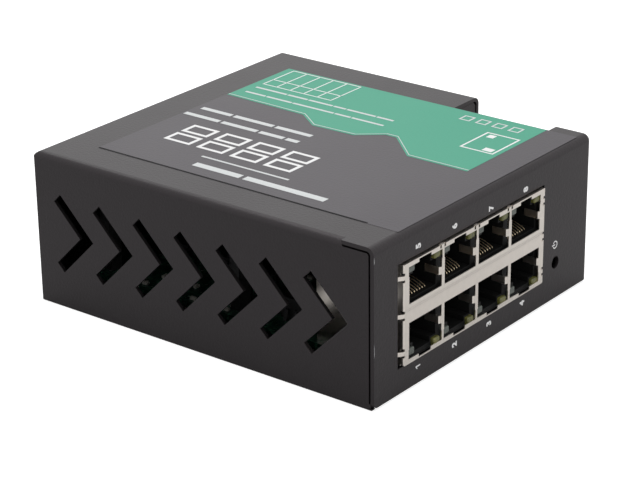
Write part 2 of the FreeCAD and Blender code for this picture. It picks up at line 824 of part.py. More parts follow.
def chip(x, y, length, width, height, leads, pitch, four_sides=False):
    """Moulded package with a row of bent leads along its long sides, or round all four."""
    body = box(x - length / 2, x + length / 2, y - width / 2, y + width / 2,
               board_top + lead_sheet, board_top + height)
    shapes = [body]
    z = board_top + height / 2
    half_lead = pitch * lead_share / 2
    t = lead_sheet
    for sx, sy in [(1, 0), (-1, 0)] + ([(0, 1), (0, -1)] if four_sides else []):
        edge = (width if sx else length) / 2
        profile = [(edge, z), (edge + lead_reach / 2, z), (edge + lead_reach, board_top),
                   (edge + lead_reach - lead_foot, board_top), (edge + lead_reach / 2 - t, z - t),
                   (edge, z - t)]
        for k in range(leads):
            offset = (k - (leads - 1) / 2) * pitch
            if sx:
                points = [(x + offset - half_lead, y + sx * d, h) for d, h in profile]
                shapes.append(extrude(points, (2 * half_lead, 0, 0)))
            else:
                points = [(x + sy * d, y + offset - half_lead, h) for d, h in profile]
                shapes.append(extrude(points, (0, 2 * half_lead, 0)))
    return join(shapes)


def small_chip(x, y):
    """Eight-lead package."""
    return chip(x, y, small_chip_length, small_chip_width, chip_height, small_chip_lead_count,
                small_chip_pitch)


def switch_chip():
    """Switch processor in a flat package with leads on four sides."""
    pitch = switch_side * switch_lead_span / switch_lead_count
    return chip(middle_board_x, board_y0 + switch_y, switch_side, switch_side, chip_height,
                switch_lead_count, pitch, four_sides=True)


def magnetics():
    """Isolating transformers behind the port block, one per column of ports."""
    x = block_back - magnetics_gap - magnetics_length / 2
    pitch = magnetics_length * magnetics_lead_span / magnetics_lead_count
    modules = []
    for column in range(port_columns):
        y = port_y(column) + port_width / 2
        modules.append(chip(x, y, magnetics_length, magnetics_width, magnetics_height,
                            magnetics_lead_count, pitch))
    return group(modules)


def power_inductors():
    """Shielded inductors, square with cut corners."""
    parts = []
    h = inductor_side / 2
    c = h - inductor_corner
    outline = [(-h, -c), (-c, -h), (c, -h), (h, -c), (h, c), (c, h), (-c, h), (-h, c)]
    x = board_back + inductor_x
    for y in inductor_y:
        points = [(x + dx, board_y0 + y + dy, board_top) for dx, dy in outline]
        parts.append(extrude(points, (0, 0, inductor_height)))
    return group(parts)


def crystal():
    """Low metal can with rounded ends."""
    x0 = middle_board_x - crystal_length / 2
    y0 = board_y0 + crystal_y
    can = box(x0, x0 + crystal_length, y0, y0 + crystal_width, board_top, board_top + crystal_height)
    uprights = [e for e in can.Edges if not near(e.Vertexes[0].Z, e.Vertexes[1].Z)]
    return can.makeFillet(crystal_width * crystal_round, uprights)


def regulator():
    """Switching regulator chip."""
    return small_chip(board_back + regulator_x, board_y0 + regulator_y)


def flash_chip():
    """Configuration memory."""
    return small_chip(board_back + inductor_x, board_y0 + flash_y)


def fuse():
    """Input fuse in its moulded case, beside the header."""
    x1 = recess_back - fuse_gap
    y1 = header_back - pin_side
    top = board_top + fuse_height
    body = box(x1 - fuse_length, x1, y1 - fuse_width, y1, board_top, top)
    return body.makeChamfer(fuse_chamfer, edges_where(body, lambda p: near(p.z, top)))


def surge_diodes():
    """Input protection diodes in a row behind the transformers."""
    parts = []
    x = block_back - magnetics_gap - magnetics_length - diode_gap
    low = diode_length / 2
    high = low - diode_draft
    for k in range(diode_count):
        y = header_back - diode_inset - k * diode_pitch
        top = board_top + diode_height
        points = [(x - low, y, board_top), (x + low, y, board_top), (x + high, y, top), (x - high, y, top)]
        parts.append(extrude(points, (0, diode_width, 0)))
    return group(parts)


def chip_parts():
    """Small resistors and capacitors along the edge by the vents and beside the switch chip."""
    parts = []
    top = board_top + passive_height
    edge_y = board_y0 + passive_edge
    for k in range(passive_count):
        x = board_back + spacer_inset + passive_start + passive_pitch * k
        parts.append(box(x, x + passive_length, edge_y, edge_y + passive_width, board_top, top))
        if x + spacer_clear < spacer_x[1]:
            x += second_shift
            y = edge_y + second_row
            parts.append(box(x, x + passive_width, y, y + passive_length, board_top, top))
    for k in range(decoupling_count):
        x = middle_board_x + switch_side / 2 + decoupling_gap
        y = board_y0 + switch_y + (k - decoupling_count / 2) * passive_pitch
        parts.append(box(x, x + passive_length, y, y + passive_width, board_top, top))
    return group(parts)


def power_light():
    """Round light with a domed nose, behind the hole in the front panel."""
    tip = -sheet - fit_gap
    shoulder = tip - light_r
    body = rod(light_r, (shoulder - light_body, light_y, light_z), (shoulder, light_y, light_z))
    tip_r = light_r * light_nose_share
    nose = cone(light_r, tip_r, (shoulder, light_y, light_z), (tip, light_y, light_z))
    return join([body, nose])


def light_holder():
    """Right-angle holder of the power light, on the board."""
    x1 = -sheet - fit_gap - light_r - holder_setback
    half = light_r + holder_wall
    body = box(x1 - holder_length, x1, light_y - half, light_y + half, board_top, light_z + half)
    bore = rod(light_r + thread_gap, (x1 - holder_bore, light_y, light_z), (0, light_y, light_z))
    return body.cut(bore)


# ---------------------------------------------------------------- power entry
def terminal_header():
    """Board header, open to the terminal wall, with coding slots in its roof."""
    half = terminal_half + fit_gap + header_wall
    body = box(terminal_x - half, terminal_x + half, header_back, header_y1, board_top, header_z1)
    inner = half - header_wall
    inside = box(terminal_x - inner, terminal_x + inner, header_back + 2 * header_wall,
                 header_y1 + past, board_top + header_wall, header_z1 - header_wall)
    tools = [inside]
    for k in range(pole_count):
        x = pole_x(k)
        w = coding_slot / 2
        tools.append(box(x - w, x + w, header_y1 - coding_slot_length, header_y1 + past,
                         header_z1 - header_wall - past, header_z1 + past))
        h = pin_side / 2
        tools.append(box(x - h, x + h, header_back - past, header_back + 2 * header_wall + past,
                         pin_z - h, pin_z + h))
    return cut_all(body, tools)


def header_pins():
    """Square pins, bent down behind the header and through the board."""
    pins = []
    h = pin_side / 2
    y = header_back - pin_side
    for k in range(pole_count):
        x = pole_x(k)
        leg = box(x - h, x + h, y - h, y + h, board_under - lead_length, pin_z + h)
        arm = box(x - h, x + h, y - h, header_y1 - pin_setback, pin_z - h, pin_z + h)
        pins.append(join([leg, arm]))
    return group(pins)


def plug_nose_z():
    """Lower and upper face of the plug's nose, inside the header."""
    return board_top + header_wall + fit_gap, header_z1 - header_wall - fit_gap


def terminal_plug():
    """Pluggable block: a nose in the header, wire entries in its outer face, screw wells on top."""
    low, high = plug_nose_z()
    x0 = terminal_x - terminal_half
    x1 = terminal_x + terminal_half
    nose_back = header_back + 2 * header_wall + plug_gap
    outline = [(plug_neck, plug_z0), (plug_face - plug_low_chamfer, plug_z0),
               (plug_face, plug_z0 + plug_low_chamfer), (plug_face, plug_z1 - plug_top_chamfer),
               (plug_face - plug_top_setback, plug_z1), (plug_neck, plug_z1)]
    body = extrude([(x0, y, z) for y, z in outline], (x1 - x0, 0, 0))
    nose = box(x0, x1, nose_back, plug_neck, low, high)
    tools = []
    for k in range(pole_count):
        x = pole_x(k)
        w = wire_entry / 2
        tools.append(box(x - w, x + w, plug_neck + entry_setback, plug_face + past,
                         plug_z0 + entry_floor, clamp_top))
        tools.append(rod(clamp_screw_r + well_gap, (x, clamp_y, plug_z1 - well_depth),
                         (x, clamp_y, plug_z1 + past)))
        h = pin_side / 2 + fit_gap
        tools.append(box(x - h, x + h, nose_back - past, header_y1 - pin_end_gap, pin_z - h, pin_z + h))
        if k:
            x -= pole_pitch / 2
            tools.append(box(x - groove / 2, x + groove / 2, plug_face - groove_depth, plug_face + past,
                             plug_z0 - past, plug_z1 + past))
    return cut_all(join([body, nose]), tools)


def wire_clamps():
    """Square metal cages that draw up onto the wires."""
    cages = []
    half = clamp_length / 2
    low = plug_z0 + entry_floor
    for k in range(pole_count):
        x = pole_x(k)
        w = wire_entry / 2
        cage = box(x - w, x + w, clamp_y - half, clamp_y + half, low, clamp_top)
        w -= clamp_sheet
        room = box(x - w, x + w, clamp_y - half - past, clamp_y + half + past,
                   low + clamp_floor, clamp_top - clamp_roof)
        cages.append(cage.cut(room))
    return group(cages)


def clamp_screws():
    """Screws in their wells on top of the plug."""
    screws = []
    for k in range(pole_count):
        x = pole_x(k)
        end = (x, clamp_y, plug_z1 - clamp_screw_drop)
        screws.append(rod(clamp_screw_r, (x, clamp_y, clamp_top), end))
    return group(screws)


# ---------------------------------------------------------------- rail clip
def clip_box(h0, h1, y0, y1, z0, z1):
    """Block on the back wall, between two heights measured outward from it."""
    return box(-case_depth - h1, -case_depth - h0, y0, y1, z0, z1)


def clip_profile(points, z0, z1):
    """Section of (y, height) points, extruded along the rail."""
    return extrude([(-case_depth - h, y, z0) for y, h in points], (0, 0, z1 - z0))


def clip_plate():
    """Stamped plate: fixed hook at one end, guides for the latch and the spring's tab at the other."""
    t = clip_sheet
    grip_y = rail_y0 + hook_grip
    section = [(clip_end_y, 0), (clip_end_y, t), (hook_wall_y, t), (hook_wall_y, lip_height),
               (grip_y, lip_height), (grip_y, lip_height + t * 0.5), (grip_y - t * 0.5, lip_height + t),
               (hook_wall_y - t + hook_chamfer, lip_height + t),
               (hook_wall_y - t, lip_height + t - hook_chamfer),
               (hook_wall_y - t, 0)]
    plate = clip_profile(section, clip_z0, clip_z1)
    shapes = [plate]
    top = latch_top + guide_gap
    inner = guide_wall_z
    for way in (1, -1):
        outer_z = clip_centre_z + way * clip_width / 2
        wall_z = clip_centre_z + way * inner
        lip_z = clip_centre_z + way * (inner - guide_lip)
        z0, z1 = sorted((outer_z, wall_z))
        shapes.append(clip_box(0, top + t, guide_start_y, guide_end_y, z0, z1))
        z0, z1 = sorted((outer_z, lip_z))
        shapes.append(clip_box(top, top + t, guide_start_y, guide_end_y, z0, z1))
    shapes.append(clip_box(0, latch_top + tab_proud, spring_end_y, spring_end_y + t,
                           clip_centre_z - spring_half, clip_centre_z + spring_half))
    plate = join(shapes)
    tools = [clip_box(-past, t + tolerance, window_y0 - latch_travel / 2, spring_end_y,
                      clip_centre_z - window_half, clip_centre_z + window_half)]
    for y in clip_screw_y:
        x = -case_depth
        inner = (x - cover_screw_flat, y, clip_centre_z)
        outer = (x - t, y, clip_centre_z)
        tools.append(rod(screw_r + hole_gap, (x + past, y, clip_centre_z), outer))
        tools.append(cone(screw_r + hole_gap, screw_head_r + hole_gap, inner, outer))
    return cut_all(plate, tools)


def clip_latch():
    """Sliding latch: a joggled nose over the rail's edge, a window for the spring and a pull slot."""
    t = clip_sheet
    tip = rail_y1 - hook_grip
    low = latch_floor
    high = latch_top
    joggle = latch_nose_back
    section = [(latch_end_y, low), (latch_end_y, high), (joggle, high), (joggle, lip_height + t),
               (tip + latch_tip_chamfer, lip_height + t), (tip, lip_height + t - latch_tip_chamfer),
               (tip, lip_height), (joggle - t, lip_height), (joggle - t, low)]
    z0 = clip_centre_z - latch_half
    z1 = clip_centre_z + latch_half
    body = clip_profile(section, z0, z1)
    tools = []
    for way in (1, -1):
        inner_z = clip_centre_z + way * nose_half
        outer_z = clip_centre_z + way * (latch_half + past)
        a, b = sorted((inner_z, outer_z))
        tools.append(clip_box(0, lip_height + t + past, 0, joggle + tolerance, a, b))
    tools.append(clip_box(0, high + past, window_y0, spring_end_y + t + guide_gap,
                          clip_centre_z - window_half, clip_centre_z + window_half))
    slot_y = latch_end_y - pull_slot_inset - pull_slot_length
    tools.append(clip_box(0, high + past, slot_y, slot_y + pull_slot_length,
                          clip_centre_z - pull_slot_width / 2, clip_centre_z + pull_slot_width / 2))
    body = cut_all(body, tools)
    corners = []
    for edge in edges_where(body, lambda p: near(p.y, latch_end_y)):
        first, last = [v.Point for v in edge.Vertexes]
        if near(first.z, last.z) and not near(first.x, last.x):
            corners.append(edge)
    return body.makeFillet(latch_corner_r, corners)


def latch_spring():
    """Compression spring between the latch's window and the plate's tab, wound from six-sided wire."""
    length = spring_length - 2 * spring_wire_r
    helix = Part.makeHelix(length / spring_turns, length, spring_r)
    section = []
    for k in range(6):
        turn = math.radians(60.0 * k)
        reach = spring_r + spring_wire_r * math.cos(turn)
        section.append(FreeCAD.Vector(reach, 0, spring_wire_r * math.sin(turn)))
    outline = Part.makePolygon(section + section[:1])
    coil = Part.Wire(helix).makePipeShell([outline], True, False)
    coil.rotate(FreeCAD.Vector(0, 0, 0), FreeCAD.Vector(1, 0, 0), -90)
    start_y = spring_start_y + spring_wire_r
    coil.translate(FreeCAD.Vector(-case_depth - spring_height, start_y, clip_centre_z))
    return coil


def clip_screws():
    """Flush screws through the clip plate and the back wall."""
    screws = []
    for y in clip_screw_y:
        x = -case_depth
        z = clip_centre_z
        neck = (x - cover_screw_flat, y, z)
        head = cone(screw_head_r, screw_r, (x - clip_sheet, y, z), neck)
        screws.append(join([head, rod(screw_r, neck, (x + clip_screw_reach, y, z))]))
    return group(screws)


def press_nuts():
    """Round nuts pressed into the back wall for the clip's screws."""
    nuts = []
    for y in clip_screw_y:
        x = -case_depth + sheet
        z = clip_centre_z
        end = x + nut_height
        nut = rod(nut_r, (x, y, z), (end, y, z))
        nuts.append(nut.cut(rod(screw_r + thread_gap, (x - past, y, z), (end + past, y, z))))
    return group(nuts)


# ---------------------------------------------------------------- write every sub-part
parts = {
    "housing_pan": housing_pan(),
    "housing_cover": housing_cover(),
    "cover_screws": cover_screws(),
    "insulating_sheet": insulating_sheet(),
    "long_spacers": long_spacers(),
    "short_spacers": short_spacers(),
    "label_overlay": label_overlay(),
    "jack_shield": jack_shield(),
    "jack_housing": jack_housing(),
    "contact_modules": contact_modules(),
    "contacts_upper_row": contact_row(0),
    "contacts_lower_row": contact_row(1),
    "light_pipes_left": light_pipes("left"),
    "light_pipes_right": light_pipes("right"),
    "main_board": main_board(),
    "capacitors": capacitors(),
    "switch_chip": switch_chip(),
    "magnetics": magnetics(),
    "power_inductors": power_inductors(),
    "crystal": crystal(),
    "regulator": regulator(),
    "flash_chip": flash_chip(),
    "fuse": fuse(),
    "surge_diodes": surge_diodes(),
    "chip_parts": chip_parts(),
    "power_light": power_light(),
    "light_holder": light_holder(),
    "terminal_header": terminal_header(),
    "header_pins": header_pins(),
    "terminal_plug": terminal_plug(),
    "wire_clamps": wire_clamps(),
    "clamp_screws": clamp_screws(),
    "clip_plate": clip_plate(),
    "clip_latch": clip_latch(),
    "latch_spring": latch_spring(),
    "clip_screws": clip_screws(),
    "press_nuts": press_nuts(),
}

clip_reach = lip_height + clip_sheet
if latch_top + guide_gap + clip_sheet > clip_reach:
    clip_reach = latch_top + guide_gap + clip_sheet
middle_x = (shield_proud - case_depth - clip_reach) / 2
middle_y = latch_end_y / 2

os.makedirs("parts", exist_ok=True)
for name, shape in parts.items():
    shape.translate(FreeCAD.Vector(-middle_x, -middle_y, 0))
    shape.exportStep("parts/" + name + ".step")
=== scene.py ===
# %% [markdown]
# # An eight-port network switch for a control cabinet
#
# This lesson dresses a finished CAD model. The solids arrive at their real
# size and place, in metres, and stay where they are. What is added here is
# everything a drawing office leaves out: the finish of each surface, the
# print on the case, softened edges, screw recesses and a round-wire spring.
# A few copies are also reshaped by some tenths of a millimetre, where real
# sheet, plastic or film has finer edges than the solid.

# %% Load the solids
import bpy
import math
from mathutils import Matrix, Vector
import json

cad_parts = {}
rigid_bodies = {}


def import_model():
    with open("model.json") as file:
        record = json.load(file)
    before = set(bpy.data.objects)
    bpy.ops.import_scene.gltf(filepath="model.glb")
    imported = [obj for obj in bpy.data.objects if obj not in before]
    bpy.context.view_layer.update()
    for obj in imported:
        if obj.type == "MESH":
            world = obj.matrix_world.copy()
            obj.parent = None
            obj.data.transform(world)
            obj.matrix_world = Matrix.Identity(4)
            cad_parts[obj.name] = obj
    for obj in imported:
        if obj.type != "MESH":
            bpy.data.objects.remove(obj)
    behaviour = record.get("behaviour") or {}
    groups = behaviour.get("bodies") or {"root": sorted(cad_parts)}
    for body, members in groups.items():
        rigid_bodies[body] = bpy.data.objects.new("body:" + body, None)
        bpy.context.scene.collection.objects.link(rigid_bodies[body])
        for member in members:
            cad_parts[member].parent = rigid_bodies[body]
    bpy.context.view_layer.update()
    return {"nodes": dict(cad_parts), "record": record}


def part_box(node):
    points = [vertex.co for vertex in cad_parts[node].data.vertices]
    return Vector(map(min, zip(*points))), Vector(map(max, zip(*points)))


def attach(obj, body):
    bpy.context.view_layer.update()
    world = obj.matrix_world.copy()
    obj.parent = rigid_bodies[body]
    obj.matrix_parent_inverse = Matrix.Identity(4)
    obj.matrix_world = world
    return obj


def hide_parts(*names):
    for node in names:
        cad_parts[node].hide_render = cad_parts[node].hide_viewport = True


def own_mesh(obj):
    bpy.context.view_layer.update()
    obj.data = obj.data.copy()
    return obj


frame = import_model()


# %% [markdown]
# ## Places
#
# Nearly everything that is printed or fitted on this case is set out from two
# planes: the front with the ports, and the wall with the slots. They could be
# typed in as numbers, but they are read from the folded case itself, so the
# print moves with the case if its size changes. Places are given in
# millimetres, and the ports repeat at one pitch, which is named once.

# %% Reference planes
MM = 0.001
SAME = 0.01 * MM    # places nearer than this are one and the same
PORT_PITCH = 13.97  # from one network socket to the next, in mm
COLUMNS = 4
pan_low, pan_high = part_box("housing_pan")
FRONT = pan_high.x
NEAR_WALL = pan_low.y


def spot(x, y, z):
    """A place given in mm from the front panel, the slotted wall and the underside."""
    return Vector((FRONT + x * MM, NEAR_WALL + y * MM, z * MM))


def same(one, other):
    """Whether two measures are equal, apart from rounding."""
    return abs(one - other) < SAME


print("front plane", round(FRONT, 5), "slotted wall", round(NEAR_WALL, 5))

# %% [markdown]
# ## Camera
#
# A long lens far away keeps the parallel edges of a box nearly parallel. The
# case is seen from above the corner between the ports and the slots.

# %% Camera
LENS_MM = 125.087
CAMERA_PLACE = (0.32111, -0.41072, 0.2319)
CAMERA_TURN = (67.0681, 0.6451, 37.7782)  # degrees

camera_data = bpy.data.cameras.new("view_camera")
camera_data.lens = LENS_MM
camera_data.sensor_width = 36.0
camera = bpy.data.objects.new("view_camera", camera_data)
bpy.context.collection.objects.link(camera)
camera.location = CAMERA_PLACE
camera.rotation_euler = [math.radians(angle) for angle in CAMERA_TURN]
bpy.context.scene.camera = camera
bpy.context.scene.view_settings.view_transform = "Standard"
print("camera at", tuple(round(value, 3) for value in camera.location))

# %% [markdown]
# ## Working habits
#
# Blender's tools act on whatever is selected, so each step starts by letting
# go of everything. Small helpers do that, open one object for editing with
# the right kind of element chosen, and pick faces or vertices by their place,
# which is how a hand would pick them by eye.

# %% Selecting and editing helpers
def let_go():
    """Object mode, with nothing selected."""
    if bpy.context.object and bpy.context.object.mode != "OBJECT":
        bpy.ops.object.mode_set(mode="OBJECT")
    bpy.ops.object.select_all(action="DESELECT")


def take(piece):
    """Select one object and make it the active one."""
    let_go()
    piece.select_set(True)
    bpy.context.view_layer.objects.active = piece
    return piece


def edit(piece, kind="FACE"):
    """Open one object for editing with nothing in it selected."""
    take(piece)
    bpy.ops.object.mode_set(mode="EDIT")
    bpy.ops.mesh.select_mode(type=kind)
    bpy.ops.mesh.select_all(action="DESELECT")


def pick_faces(piece, test):
    """Select the faces whose middle and normal pass a test, while editing."""
    bpy.ops.object.mode_set(mode="OBJECT")
    for face in piece.data.polygons:
        face.select = bool(test(face.center, face.normal))
    bpy.ops.object.mode_set(mode="EDIT")


def pick_points(piece, test):
    """Select the vertices whose place passes a test, while editing."""
    bpy.ops.object.mode_set(mode="EDIT")
    bpy.ops.mesh.select_mode(type="VERT")
    bpy.ops.mesh.select_all(action="DESELECT")
    bpy.ops.object.mode_set(mode="OBJECT")
    for point in piece.data.vertices:
        point.select = bool(test(point.co))
    bpy.ops.object.mode_set(mode="EDIT")


def slide(piece, test, by):
    """Move the vertices whose place passes a test, while editing."""
    pick_points(piece, test)
    bpy.ops.transform.translate(value=by)


def face_outwards():
    """Turn every face of the mesh outwards, while editing."""
    bpy.ops.mesh.select_all(action="SELECT")
    bpy.ops.mesh.normals_make_consistent(inside=False)


def new_piece(name):
    """Name the primitive that was just added, in its object and its mesh."""
    piece = bpy.context.object
    piece.name = name
    piece.data.name = name
    return piece


def settle(piece):
    """Write an object's place into its mesh, so that the object sits at the origin."""
    take(piece)
    bpy.ops.object.transform_apply(location=True, rotation=True, scale=True)
    return piece


print("helpers ready")

# %% [markdown]
# ## Shared surface effects
#
# Two effects turn up in almost every finish here. The first is a fine even
# grain, such as the orange-peel skin of powder paint or the spark texture of
# a mould. The second is the slow change in gloss that handling leaves. Each
# could be drawn again in every material, but a node group is built once and
# placed wherever it is needed, with its own numbers.

# %% Node helpers
def math_node(nodes, operation, *values):
    """A math node, with its second input set where a value is given."""
    node = nodes.new("ShaderNodeMath")
    node.operation = operation
    for index, value in enumerate(values, start=1):
        node.inputs[index].default_value = value
    return node


def start_group(name, inputs, outputs):
    """An empty shader node group with named sockets."""
    group = bpy.data.node_groups.new(name, "ShaderNodeTree")
    for label, kind, value in inputs:
        socket = group.interface.new_socket(name=label, in_out="INPUT", socket_type=kind)
        socket.default_value = value
    for label, kind in outputs:
        group.interface.new_socket(name=label, in_out="OUTPUT", socket_type=kind)
    return group, group.nodes.new("NodeGroupInput"), group.nodes.new("NodeGroupOutput")


print("node helpers ready")

# %% Node group: skin grain
skin_grain, grain_in, grain_out = start_group(
    "skin_grain",
    [("Grains per metre", "NodeSocketFloat", 3000.0), ("Depth", "NodeSocketFloat", 1.0)],
    [("Height", "NodeSocketFloat"), ("Mask", "NodeSocketFloat")],
)
place = skin_grain.nodes.new("ShaderNodeTexCoord")
noise = skin_grain.nodes.new("ShaderNodeTexNoise")
noise.inputs["Detail"].default_value = 3.0
noise.inputs["Roughness"].default_value = 0.55
scaled = math_node(skin_grain.nodes, "MULTIPLY")
link = skin_grain.links.new
link(place.outputs["Object"], noise.inputs["Vector"])
link(grain_in.outputs["Grains per metre"], noise.inputs["Scale"])
link(noise.outputs["Fac"], scaled.inputs[0])
link(grain_in.outputs["Depth"], scaled.inputs[1])
link(scaled.outputs["Value"], grain_out.inputs["Height"])
link(noise.outputs["Fac"], grain_out.inputs["Mask"])
print("group", skin_grain.name, "with", len(skin_grain.nodes), "nodes")

# %% Node group: handling marks
handling, hand_in, hand_out = start_group(
    "handling_marks",
    [("Base", "NodeSocketFloat", 0.4), ("Change", "NodeSocketFloat", 0.06)],
    [("Roughness", "NodeSocketFloat"), ("Mask", "NodeSocketFloat")],
)
place = handling.nodes.new("ShaderNodeTexCoord")
clouds = handling.nodes.new("ShaderNodeTexNoise")
clouds.inputs["Scale"].default_value = 38.0
clouds.inputs["Detail"].default_value = 5.0
centred = math_node(handling.nodes, "SUBTRACT", 0.5)
spread = math_node(handling.nodes, "MULTIPLY_ADD")
link = handling.links.new
link(place.outputs["Object"], clouds.inputs["Vector"])
link(clouds.outputs["Fac"], centred.inputs[0])
link(centred.outputs["Value"], spread.inputs[0])
link(hand_in.outputs["Change"], spread.inputs[1])
link(hand_in.outputs["Base"], spread.inputs[2])
link(spread.outputs["Value"], hand_out.inputs["Roughness"])
link(clouds.outputs["Fac"], hand_out.inputs["Mask"])
print("group", handling.name, "with", len(handling.nodes), "nodes")

# %% [markdown]
# ## A finish in general
#
# Every finish below is the same small circuit: two near colours mixed by the
# grain, a roughness that drifts with handling, and a bump that gives the skin
# its depth. Only the numbers differ between paint, plastic and metal. What is
# constant over a surface, such as its index of refraction, is set directly on
# the shader.

# %% Finish builder
def make_finish(name, dark, light, roughness, grains, bump_mm,
                metallic=0.0, change=0.06, sockets=()):
    """A material from two near colours, a roughness, a grain and a metal value."""
    material = bpy.data.materials.new(name)
    material.use_nodes = True
    nodes = material.node_tree.nodes
    join = material.node_tree.links.new
    shader = nodes["Principled BSDF"]
    grain = nodes.new("ShaderNodeGroup")
    grain.node_tree = skin_grain
    grain.inputs["Grains per metre"].default_value = grains
    hand = nodes.new("ShaderNodeGroup")
    hand.node_tree = handling
    hand.inputs["Base"].default_value = roughness
    hand.inputs["Change"].default_value = change
    tone = nodes.new("ShaderNodeMix")
    tone.data_type = "RGBA"
    tone.inputs["A"].default_value = (*dark, 1.0)
    tone.inputs["B"].default_value = (*light, 1.0)
    bump = nodes.new("ShaderNodeBump")
    bump.inputs["Strength"].default_value = 1.0
    bump.inputs["Distance"].default_value = bump_mm * MM
    join(grain.outputs["Mask"], tone.inputs["Factor"])
    join(tone.outputs["Result"], shader.inputs["Base Color"])
    join(hand.outputs["Roughness"], shader.inputs["Roughness"])
    join(grain.outputs["Height"], bump.inputs["Height"])
    join(bump.outputs["Normal"], shader.inputs["Normal"])
    shader.inputs["Metallic"].default_value = metallic
    for label, value in sockets:
        shader.inputs[label].default_value = value
    return material


print("finish builder ready")

# %% [markdown]
# ## The finishes of this switch
#
# The case is steel with black satin powder paint. The port block's shell is
# tin-plated sheet, pale and a little warm. Sockets and chips are moulded in
# black, the light pipes are clear and faintly tinted, and the rail clip is
# zinc-plated spring steel. The light pipes' colour carries painted spots of
# light, which stand for the glow seen through clear plastic.

# %% Finishes
WARM = ("Specular Tint", (1.0, 0.9, 0.95, 1.0))
finishes = {
    "case_paint": make_finish(
        "satin_powder_paint", (0.003, 0.0026, 0.0028), (0.007, 0.0062, 0.0066),
        roughness=0.42, grains=1500.0, bump_mm=0.05, sockets=(("IOR", 1.46), WARM)),
    "label_print": make_finish(
        "matt_overlay_film", (0.006, 0.0055, 0.0085), (0.013, 0.012, 0.017),
        roughness=0.44, grains=1500.0, bump_mm=0.045, sockets=(("IOR", 1.6), WARM)),
    "tin_plate": make_finish(
        "tin_plated_sheet", (0.66, 0.615, 0.565), (0.76, 0.705, 0.645),
        roughness=0.3, grains=900.0, bump_mm=0.004, metallic=1.0, change=0.16),
    "black_plastic": make_finish(
        "socket_moulding", (0.004, 0.004, 0.004), (0.008, 0.008, 0.008),
        roughness=0.5, grains=4200.0, bump_mm=0.01, sockets=(("Specular IOR Level", 0.13),)),
    "contact_gold": make_finish(
        "gold_plate", (0.74, 0.6, 0.4), (0.88, 0.73, 0.52),
        roughness=0.36, grains=2400.0, bump_mm=0.002, metallic=1.0),
    # painted light: the bright spots that the grain mixes in stand for light glowing through the
    # clear pipe
    "pipe_green": make_finish(
        "clear_pipe_left_painted_glow", (0.012, 0.017, 0.015), (0.135, 0.15, 0.13),
        roughness=0.25, grains=650.0, bump_mm=0.004),
    # painted light: here too the bright spots stand for light glowing through the clear pipe
    "pipe_yellow": make_finish(
        "clear_pipe_right_painted_glow", (0.02, 0.028, 0.02), (0.2, 0.19, 0.04),
        roughness=0.25, grains=650.0, bump_mm=0.004),
    "component_black": make_finish(
        "chip_moulding", (0.015, 0.015, 0.016), (0.024, 0.024, 0.026),
        roughness=0.5, grains=3800.0, bump_mm=0.012),
    "plated_steel": make_finish(
        "zinc_plate", (0.52, 0.53, 0.55), (0.66, 0.67, 0.68),
        roughness=0.32, grains=1500.0, bump_mm=0.005, metallic=1.0, change=0.14),
    "terminal_green": make_finish(
        "terminal_moulding", (0.02, 0.17, 0.06), (0.035, 0.23, 0.085),
        roughness=0.42, grains=3600.0, bump_mm=0.01),
    "can_sleeve": make_finish(
        "capacitor_sleeve", (0.012, 0.013, 0.03), (0.02, 0.022, 0.045),
        roughness=0.3, grains=1600.0, bump_mm=0.004),
    "spring_steel": make_finish(
        "bright_spring_wire", (0.48, 0.48, 0.49), (0.6, 0.6, 0.61),
        roughness=0.24, grains=3000.0, bump_mm=0.002, metallic=1.0),
    "clear_film": make_finish(
        "insulating_film", (0.5, 0.5, 0.45), (0.6, 0.6, 0.54),
        roughness=0.35, grains=900.0, bump_mm=0.006),
}
print("finishes:", len(finishes))

# %% [markdown]
# ## The circuit board
#
# Seen through the slots, a board is dark green with paler tracks under the
# mask and bright solder where parts sit. Tracks run square to the edges, so
# two stretched noises, one along each direction, give lanes of copper, and a
# cell pattern picks out the pads. The pads are metal and the mask isn't, so
# one mask drives colour and metal together.

# %% Board material
ALONG, ACROSS = 90.0, 1100.0  # the noise's changes per metre, along a lane and across it
TRACK_LEVEL = 0.58            # noise above this is a track
PADS_PER_METRE = 420.0
PAD_REACH = 0.16              # how far a pad reaches from the middle of its cell

board = make_finish("solder_mask", (0.004, 0.03, 0.017), (0.008, 0.05, 0.028),
                    roughness=0.34, grains=700.0, bump_mm=0.012)
board_nodes = board.node_tree.nodes
board_join = board.node_tree.links.new
board_shader = board_nodes["Principled BSDF"]
where = board_nodes.new("ShaderNodeTexCoord")
lanes = []
for stretch in ((ALONG, ACROSS, ALONG), (ACROSS, ALONG, ALONG)):
    laid = board_nodes.new("ShaderNodeMapping")
    laid.inputs["Scale"].default_value = stretch
    lane = board_nodes.new("ShaderNodeTexNoise")
    lane.inputs["Scale"].default_value = 1.0
    sharp = math_node(board_nodes, "GREATER_THAN", TRACK_LEVEL)
    board_join(where.outputs["Object"], laid.inputs["Vector"])
    board_join(laid.outputs["Vector"], lane.inputs["Vector"])
    board_join(lane.outputs["Fac"], sharp.inputs[0])
    lanes.append(sharp)
tracks = math_node(board_nodes, "MAXIMUM")
board_join(lanes[0].outputs["Value"], tracks.inputs[0])
board_join(lanes[1].outputs["Value"], tracks.inputs[1])
tracked = board_nodes.new("ShaderNodeMix")
tracked.data_type = "RGBA"
tracked.inputs["B"].default_value = (0.03, 0.11, 0.065, 1.0)
plain = board_shader.inputs["Base Color"].links[0].from_socket
board_join(tracks.outputs["Value"], tracked.inputs["Factor"])
board_join(plain, tracked.inputs["A"])
cells = board_nodes.new("ShaderNodeTexVoronoi")
cells.inputs["Scale"].default_value = PADS_PER_METRE
pads = math_node(board_nodes, "LESS_THAN", PAD_REACH)
board_join(where.outputs["Object"], cells.inputs["Vector"])
board_join(cells.outputs["Distance"], pads.inputs[0])
soldered = board_nodes.new("ShaderNodeMix")
soldered.data_type = "RGBA"
soldered.inputs["B"].default_value = (0.75, 0.74, 0.7, 1.0)
board_join(pads.outputs["Value"], soldered.inputs["Factor"])
board_join(tracked.outputs["Result"], soldered.inputs["A"])
